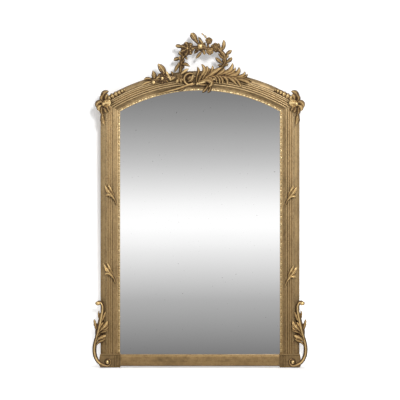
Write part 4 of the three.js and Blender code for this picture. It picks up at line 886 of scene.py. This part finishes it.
scroll_shapes = [
    # the channelled S-stem and the volute round the eye
    stem([(489, 160, 50), (499, 132, 44), (506, 103, 38), (507, 79, 38), (503, 55, 44), (492, 34, 53),
          (476, 19, 59)], [9, 10, 10, 10, 10, 9.5, 8.5], ribs=2, deep=0.3, shade=-0.05),
    stem([(479, 21, 57), (458, 11, 60), (442, 9, 59), (431, 17, 58), (428, 30, 57), (435, 40, 56),
          (445, 36, 56)], [8.5, 7.5, 6.5, 5.5, 5, 4.5, 4], ribs=1, shade=-0.32),
    bud((444, 26, 59), (8, 10, 7.5), creases=2, shade=0.12),
    # tall leaf whose tip rolls outwards
    stem([(496, 146, 48), (484, 187, 57), (475, 230, 62), (468, 268, 62), (467, 292, 60), (474, 309, 57),
          (485, 313, 53), (494, 307, 49)], [9, 10, 9.5, 8.5, 8, 8.5, 9, 7], ribs=2, deep=0.26, shade=-0.02),
    bud((490, 308, 57), (14, 10, 9), creases=1, shade=0.05),
    leaf([(491, 160, 50), (480, 213, 58), (470, 256, 61), (462, 290, 57)], 13, lobes=4, widest=0.55),
    leaf([(482, 223, 57), (485, 252, 59), (484, 274, 54)], 5.5, lobes=4, widest=0.5),
    leaf([(477, 213, 60), (462, 242, 65), (453, 269, 59)], 8, lobes=4, widest=0.55),
    leaf([(488, 168, 52), (500, 199, 52), (508, 233, 46)], 9, lobes=4, widest=0.5),
    leaf([(498, 132, 44), (489, 170, 52), (476, 212, 55), (470, 252, 51)], 17, widest=0.5, shade=-0.05),
    leaf([(502, 112, 40), (491, 146, 50), (472, 172, 55), (458, 186, 52)], 14, widest=0.5, shade=-0.05),
    leaf([(491, 160, 54), (471, 184, 64), (453, 202, 66), (442, 226, 60)], 14, lobes=4, widest=0.6),
    leaf([(472, 180, 60), (452, 184, 66), (438, 200, 60)], 8, lobes=4, widest=0.55),
    leaf([(482, 165, 57), (458, 174, 65), (440, 180, 58)], 8, lobes=4, widest=0.55),
    leaf([(504, 112, 43), (485, 137, 60), (465, 148, 67), (448, 156, 61)], 12, lobes=4, widest=0.6),
    leaf([(503, 98, 40), (484, 122, 56), (466, 132, 62), (453, 141, 58)], 9, lobes=4, widest=0.55),
    leaf([(494, 136, 50), (485, 175, 60), (478, 204, 63), (479, 225, 58)], 9, lobes=4, widest=0.55),
    leaf([(487, 170, 56), (476, 199, 65), (462, 218, 62)], 8, lobes=4, widest=0.5),
]
for name, side in SIDES.items():
    set_carving(f"{name}_gilt_scroll", scroll_shapes, f"{name}_side_scroll", side, painted_shade=0.45)

# ----------------------------------------
# Stile sprigs: four small acanthus sprigs that lean up and outwards over the reeds, cast in
# composition, gilded and glued on.
SPRIG_PLACES = {
    "left": {"upper": (405, 795), "lower": (410, 418)},
    "right": {"upper": (413, 788), "lower": (413, 404)},
}
SPRIG_LEAVES = [
    ([(5, 24, 60), (1, 4, 61), (-7, -18, 58)], 6, 0, -0.1),
    ([(6, 18, 58), (15, 46, 64), (26, 67, 67), (36, 88, 63)], 8, 2, 0.15),
    ([(3, 8, 60), (22, 36, 65), (38, 56, 66), (53, 82, 57)], 13.5, 4, 0.0),
    ([(3, 6, 60), (18, 29, 66), (35, 34, 66), (49, 26, 58)], 9, 2, 0.12),
]
for name, side in SIDES.items():
    for which, (x0, z0) in SPRIG_PLACES[name].items():
        shapes = [leaf(np.array(route) + [x0, z0, 0], half, lobes=lobes, shade=shade)
                  for route, half, lobes, shade in SPRIG_LEAVES]
        set_carving(f"{name}_{which}_gilt_sprig", shapes, f"{name}_{which}_sprig", side)

# ----------------------------------------
# Corner ornaments: a cluster of curled leaves over each mitre, which it hides, with a drop of
# leaves down the stile and a string of overlapping husks up the arch. Carved, gilded, pinned.
HUSK_RADIUS = SIGHT_RADIUS + 81
HUSKS = [  # degrees off the top of the arch, length in mm
    (30.9, 19), (29.6, 19), (28.3, 18), (27.1, 16), (26.0, 14), (25.1, 11)]


def along_husks(degrees, reach, h):
    """Point beside the husk at `degrees`: `reach` towards the crown of the arch."""
    turn = math.radians(degrees)
    return (HUSK_RADIUS * math.sin(turn) - reach * math.cos(turn),
            ARCH_CENTRE_Z + HUSK_RADIUS * math.cos(turn) + reach * math.sin(turn), h)


corner_shapes = [
    bud((462, 1263, 62), (10, 11, 8), creases=6),
    bud((458, 1266, 52), (27, 23, 9), creases=7, shade=-0.35),
    leaf([(456, 1267, 58), (467, 1294, 62), (458, 1316, 62), (436, 1324, 57)], 13, widest=0.6, shade=-0.2),
    leaf([(448, 1276, 60), (450, 1297, 65), (438, 1311, 61)], 9, widest=0.5, shade=0.05),
    leaf([(462, 1272, 60), (472, 1290, 64), (468, 1309, 59)], 10, widest=0.5, shade=-0.1),
    leaf([(456, 1262, 60), (477, 1274, 65), (492, 1264, 65), (493, 1243, 59)], 12, widest=0.55, shade=-0.05),
    leaf([(466, 1255, 60), (478, 1254, 66), (486, 1244, 66), (481, 1229, 61)], 10, widest=0.6, shade=0.2),
    leaf([(470, 1264, 58), (450, 1268, 64), (427, 1266, 61)], 22, widest=0.62, blunt=0.4, lobes=5,
         shade=0.24),
    leaf([(466, 1256, 58), (450, 1250, 63), (432, 1246, 60)], 13, widest=0.6, blunt=0.5, lobes=3, shade=0.0),
    leaf([(458, 1255, 60), (443, 1243, 65), (439, 1226, 59)], 11, widest=0.55, shade=-0.1),
    leaf([(460, 1254, 60), (455, 1234, 65), (447, 1221, 59)], 10, widest=0.6, shade=-0.05),
    leaf([(466, 1254, 60), (473, 1231, 64), (467, 1211, 58)], 9, widest=0.5, shade=-0.1),
    leaf([(463, 1222, 58), (468, 1204, 62), (460, 1186, 59)], 11, widest=0.6, shade=-0.05),
    leaf([(470, 1208, 58), (471, 1190, 61), (465, 1174, 58)], 9, widest=0.6, shade=-0.1),
    leaf([(463, 1196, 59), (464, 1180, 63), (458, 1163, 57)], 10.5, widest=0.5, shade=0.1),
    # the stem under the husks
    stem([(456, 1268, 58)] + [along_husks(degrees, 0, 52) for degrees, _ in HUSKS], [9, 8, 7, 5],
         shade=-0.3),
]
for degrees, size in HUSKS:
    # a husk is short and blunt, and its lip stands off the next one
    route = [along_husks(degrees, reach * size, h) for reach, h in ((-0.7, 50), (0.0, 57), (0.7, 62))]
    corner_shapes.append(leaf(route, size * 0.74, widest=0.7, blunt=0.3, root=0.7, shade=0.12))
for name, side in SIDES.items():
    set_carving(f"{name}_gilt_corner", corner_shapes, f"{name}_corner_ornament", side, painted_shade=0.42)

# ----------------------------------------
# Crest wreath: an open hoop of twigs with laurel leaves, standing over the arch on its two
# feet. Carved in lime wood round an iron wire, gilded, and pegged to the arch's back edge.
HOOP = [
    (-95, 1415, 24), (-92, 1443, 28), (-91, 1466, 36), (-85, 1488, 42), (-84, 1509, 44), (-70, 1526, 45),
    (-43, 1535, 45), (-5, 1535, 45), (34, 1531, 45), (67, 1528, 45), (96, 1519, 44), (118, 1495, 42),
    (119, 1464, 36), (106, 1440, 28), (84, 1415, 24)]
HOOP_RADII = [9, 10, 9, 9, 9.5, 10, 9, 9, 9, 10, 10, 9.5, 9.5, 10, 9]
wreath_shapes = [
    stem(HOOP, HOOP_RADII, shade=-0.3),
    # outer and inner leaves, clockwise from the left foot
    leaf([(-98, 1461, 36), (-112, 1440, 40), (-122, 1416, 34)], 8.5),
    leaf([(-91, 1454, 36), (-70, 1456, 42), (-48, 1444, 38)], 9),
    leaf([(-86, 1480, 40), (-108, 1482, 44), (-127, 1473, 40)], 10, widest=0.6, shade=-0.1),
    leaf([(-82, 1502, 42), (-70, 1491, 45), (-61, 1476, 42)], 7),
    leaf([(-85, 1497, 40), (-96, 1503, 42), (-106, 1509, 40)], 5.5),
    leaf([(-74, 1528, 42), (-98, 1541, 45), (-118, 1542, 42)], 10, widest=0.62, blunt=0.5),
    leaf([(-3, 1543, 44), (-27, 1582, 47), (-43, 1605, 42)], 15, widest=0.62, blunt=0.5, shade=-0.05),
    leaf([(6, 1535, 45), (2, 1565, 45), (-9, 1588, 40)], 9, shade=-0.15),
    leaf([(19, 1540, 47), (8, 1560, 51), (-7, 1578, 46)], 6.5, shade=0.15),
    leaf([(0, 1530, 45), (-17, 1519, 46), (-27, 1504, 43)], 9, shade=-0.2),
    leaf([(9, 1518, 46), (-5, 1500, 49), (-22, 1481, 45)], 8, shade=0.1),
    leaf([(12, 1528, 46), (19, 1514, 49), (22, 1500, 45)], 8.5, blunt=0.5, shade=0.1),
    leaf([(24, 1528, 43), (20, 1545, 45), (26, 1562, 42)], 9, shade=-0.2),
    stem([(36, 1560, 42), (31, 1580, 42), (17, 1596, 40), (7, 1606, 38)], [3.4, 2.8, 2.2, 1.6]),
    bud((26, 1588, 41), (5.5, 6.5, 5)),
    bud((12, 1600, 39), (4, 5, 4)),
    stem([(38, 1533, 44), (39, 1552, 43), (37, 1564, 42)], (7, 6, 5), shade=-0.2),
    leaf([(103, 1516, 44), (114, 1545, 47), (113, 1574, 42)], 10),
    leaf([(82, 1526, 44), (90, 1541, 48), (86, 1559, 44)], 8, shade=-0.1),
    leaf([(117, 1501, 42), (136, 1510, 46), (153, 1524, 42)], 9.5, widest=0.55),
    leaf([(119, 1461, 38), (141, 1474, 43), (153, 1490, 40)], 9.5, widest=0.55),
    leaf([(117, 1476, 42), (103, 1493, 46), (86, 1507, 43)], 8.5),
    leaf([(114, 1454, 38), (92, 1471, 43), (73, 1489, 40)], 9, widest=0.55),
    leaf([(110, 1444, 34), (95, 1451, 37), (83, 1453, 34)], 6),
]
# small leaves that hug the hoop, turned towards its top, on its left and right by turns
for number, share in enumerate(np.linspace(0.04, 0.96, 34)):
    here = np.array([share])
    place, (across, face) = spine(HOOP, here)[0], ways(HOOP, here)
    onward = np.cross(face[0], across[0]) * (1 if share < 0.5 else -1)
    out = across[0] * (1, -1, 0.3)[number % 3]
    route = [place + onward * a + out * b + face[0] * c for a, b, c in ((0, 3, 2), (13, 9, 6), (24, 14, 2))]
    wreath_shapes.append(leaf(route, 8, widest=0.55, shade=(-0.25, 0.0, -0.1)[number % 3]))
set_carving("gilt_wreath", wreath_shapes, "crest_wreath")

# ----------------------------------------
# Flowers and fruit on the wreath: a many-petalled flower, a pointed fruit and three roses,
# carved apart and glued to its top.
for name, shapes in {
    "large_flower": flower((-61, 1528, 56), 32, petals=7, depth=0.7, rows=3, shade=-0.16),
    "fruit": [bud((1, 1539, 56), (16.5, 17, 13), creases=4, shade=-0.16)],
    "rose": flower((47, 1517, 53), 17, petals=5, turn=0.9, depth=0.9, rows=3, shade=0.1),
    "small_rose": flower((74, 1536, 52), 20, petals=6, turn=0.6, depth=0.8, rows=3, shade=-0.08),
    "upper_rose": flower((43, 1567, 51), 16, petals=5, turn=0.3, depth=0.9, rows=3, shade=-0.03),
}.items():
    set_carving(f"gilt_{name}", shapes, f"crest_{name}")

# ----------------------------------------
# Flower garland on the left of the arch: leaves and blooms on a short branch. Carved and
# gilded, and glued to the moulding.
garland_shapes = [
    stem([(-240, 1372, 54), (-202, 1381, 54), (-163, 1386, 54), (-125, 1394, 53)], [6, 12, 13, 8],
         shade=-0.3),
    leaf([(-232, 1370, 57), (-260, 1364, 60), (-281, 1350, 56)], 8, shade=0.05),
    leaf([(-228, 1380, 54), (-252, 1386, 56), (-270, 1378, 52)], 8),
    leaf([(-222, 1382, 54), (-220, 1402, 58), (-228, 1424, 52)], 13, widest=0.42),
    bud((-223, 1367, 58), (9, 10, 8), shade=0.15),
    leaf([(-160, 1392, 54), (-180, 1428, 60), (-203, 1457, 53)], 16, widest=0.5),
    leaf([(-150, 1393, 60), (-156, 1408, 63), (-164, 1422, 59)], 6.5, blunt=0.5, shade=0.42),
    leaf([(-139, 1376, 62), (-146, 1388, 65), (-155, 1401, 61)], 6.5, blunt=0.5, shade=0.42),
    flower((-178, 1388, 57), 27, petals=6, turn=0.4, depth=0.6, rows=3, shade=-0.3),
    bud((-181, 1385, 66), (7, 9, 5), creases=2),
    leaf([(-212, 1380, 59), (-200, 1391, 63), (-190, 1392, 60)], 7, shade=0.15),
    leaf([(-115, 1393, 57), (-129, 1386, 61), (-145, 1373, 58)], 8, shade=0.15),
    leaf([(-134, 1389, 52), (-132, 1408, 52), (-141, 1420, 48)], 8, shade=-0.1),
]
set_carving("gilt_garland", garland_shapes, "crest_garland")

# ----------------------------------------
# C-scroll at the crown: a scroll with its eye, a bar over it, a bloom beside it, and a long
# stem that runs down the face of the arch. Carved and gilded, glued to the moulding.
crown_shapes = [
    flower((-101, 1396, 58), 13, petals=5, depth=0.9),
    leaf([(-101, 1390, 59), (-107, 1376, 62), (-113, 1364, 57)], 10, widest=0.6, shade=0.15),
    leaf([(-99, 1390, 59), (-93, 1377, 62), (-89, 1366, 57)], 9, widest=0.6, shade=0.1),
    # C-scroll round its eye, and the bar over it
    stem([(-34, 1408, 55), (-54, 1410, 58), (-71, 1398, 59), (-76, 1379, 59), (-66, 1362, 58),
          (-46, 1355, 57), (-26, 1361, 55)], [7, 9, 10, 10, 10, 9, 7], ribs=2, deep=0.26, shade=-0.2),
    bud((-49, 1384, 56), (15, 18, 8), creases=3, shade=-0.28),
    leaf([(-57, 1371, 60), (-41, 1381, 64), (-34, 1404, 60)], 11, blunt=0.5, shade=0.05),
    leaf([(-92, 1406, 58), (-73, 1421, 62), (-54, 1432, 57)], 7.5, blunt=0.5, shade=0.4),
    stem([(-92, 1384, 57), (-81, 1378, 60), (-68, 1366, 58)], (5, 5, 5), shade=0.2),
    stem([(-89, 1404, 57), (-99, 1395, 58), (-102, 1381, 58)], (4, 5, 5)),
    # the long stem that runs down the face of the arch to the left
    stem([(-34, 1362, 56), (-67, 1351, 58), (-110, 1336, 57), (-163, 1322, 54), (-209, 1310, 50)],
         [9, 8.5, 7, 5, 3], ribs=1, shade=-0.3),
    leaf([(-67, 1343, 56), (-86, 1333, 56), (-105, 1326, 52)], 6),
]
set_carving("gilt_c_scroll", crown_shapes, "crest_scroll")

# ----------------------------------------
# Acanthus spray on the right of the arch: fronds leave one thick stem upwards and downwards.
# Carved in one piece of lime wood, gilded, glued to the moulding.
FRONDS = [
    ([(-18, 1360, 58), (-15, 1394, 62), (-7, 1420, 62), (-14, 1443, 56)], 6.5),
    ([(-10, 1360, 59), (2, 1392, 63), (21, 1425, 64), (6, 1455, 57)], 9),
    ([(5, 1365, 59), (19, 1396, 62), (34, 1423, 62), (30, 1446, 56)], 9),
    ([(24, 1372, 59), (41, 1401, 62), (57, 1423, 61), (60, 1449, 54)], 8),
    ([(29, 1384, 60), (41, 1416, 62), (48, 1435, 56)], 5),
    ([(5, 1368, 60), (38, 1394, 65), (72, 1419, 65), (106, 1439, 60)], 10),
    ([(38, 1377, 60), (77, 1399, 65), (106, 1418, 66), (116, 1435, 61)], 8),
    ([(62, 1382, 59), (106, 1406, 63), (144, 1425, 62), (156, 1460, 54)], 10),
    ([(86, 1384, 59), (130, 1404, 63), (158, 1418, 62), (171, 1439, 55)], 7),
    ([(101, 1386, 58), (144, 1398, 63), (179, 1412, 61), (187, 1441, 53)], 10),
    ([(134, 1387, 57), (173, 1392, 60), (204, 1399, 58), (216, 1420, 51)], 8),
    ([(158, 1385, 56), (192, 1387, 57), (216, 1394, 55), (228, 1410, 51)], 6),
    ([(19, 1372, 61), (41, 1388, 66), (58, 1381, 66), (60, 1363, 60)], 7),
    ([(34, 1377, 61), (60, 1395, 66), (76, 1387, 67), (79, 1367, 60)], 7),
    ([(48, 1380, 61), (75, 1398, 67), (93, 1382, 67), (91, 1357, 60)], 7),
    ([(62, 1383, 61), (89, 1397, 67), (107, 1380, 67), (105, 1356, 60)], 7),
    ([(82, 1385, 61), (110, 1394, 66), (130, 1378, 66), (128, 1354, 58)], 8),
    ([(101, 1387, 61), (134, 1391, 65), (159, 1375, 64), (174, 1356, 57)], 7),
    ([(125, 1388, 60), (160, 1389, 63), (184, 1369, 61), (197, 1343, 55)], 7),
    ([(154, 1386, 57), (192, 1381, 60), (224, 1372, 58), (243, 1353, 52)], 8),
    ([(182, 1383, 55), (211, 1385, 56), (232, 1382, 54), (250, 1371, 51)], 5),
    ([(-5, 1370, 61), (29, 1377, 67), (55, 1365, 67), (40, 1343, 61)], 10),
    ([(40, 1358, 60), (30, 1339, 60), (11, 1320, 50)], 7),
    ([(51, 1357, 60), (50, 1338, 60), (36, 1319, 50)], 6.5),
    ([(43, 1356, 58), (5, 1356, 64), (-15, 1368, 59)], 6),
]
spray_shapes = [
    stem([(-17, 1357, 57), (14, 1368, 58), (48, 1378, 59), (86, 1385, 59), (134, 1388, 57), (182, 1383, 55),
          (221, 1376, 52)], [9, 10, 10, 9, 8, 6, 4], ribs=2),
    # the ground that the fronds are cut out of, kept dark as painted shade between the fronds
    leaf([(-20, 1366, 50), (40, 1385, 52), (110, 1398, 52), (190, 1392, 50)], 27, blunt=0.4, shade=-0.5),
]
for route, half in FRONDS:
    spray_shapes.append(leaf(route, 1.25 * half, widest=0.55, thick=5, blunt=0.55, shade=-0.15))
set_carving("gilt_acanthus_spray", spray_shapes, "crest_acanthus_spray")
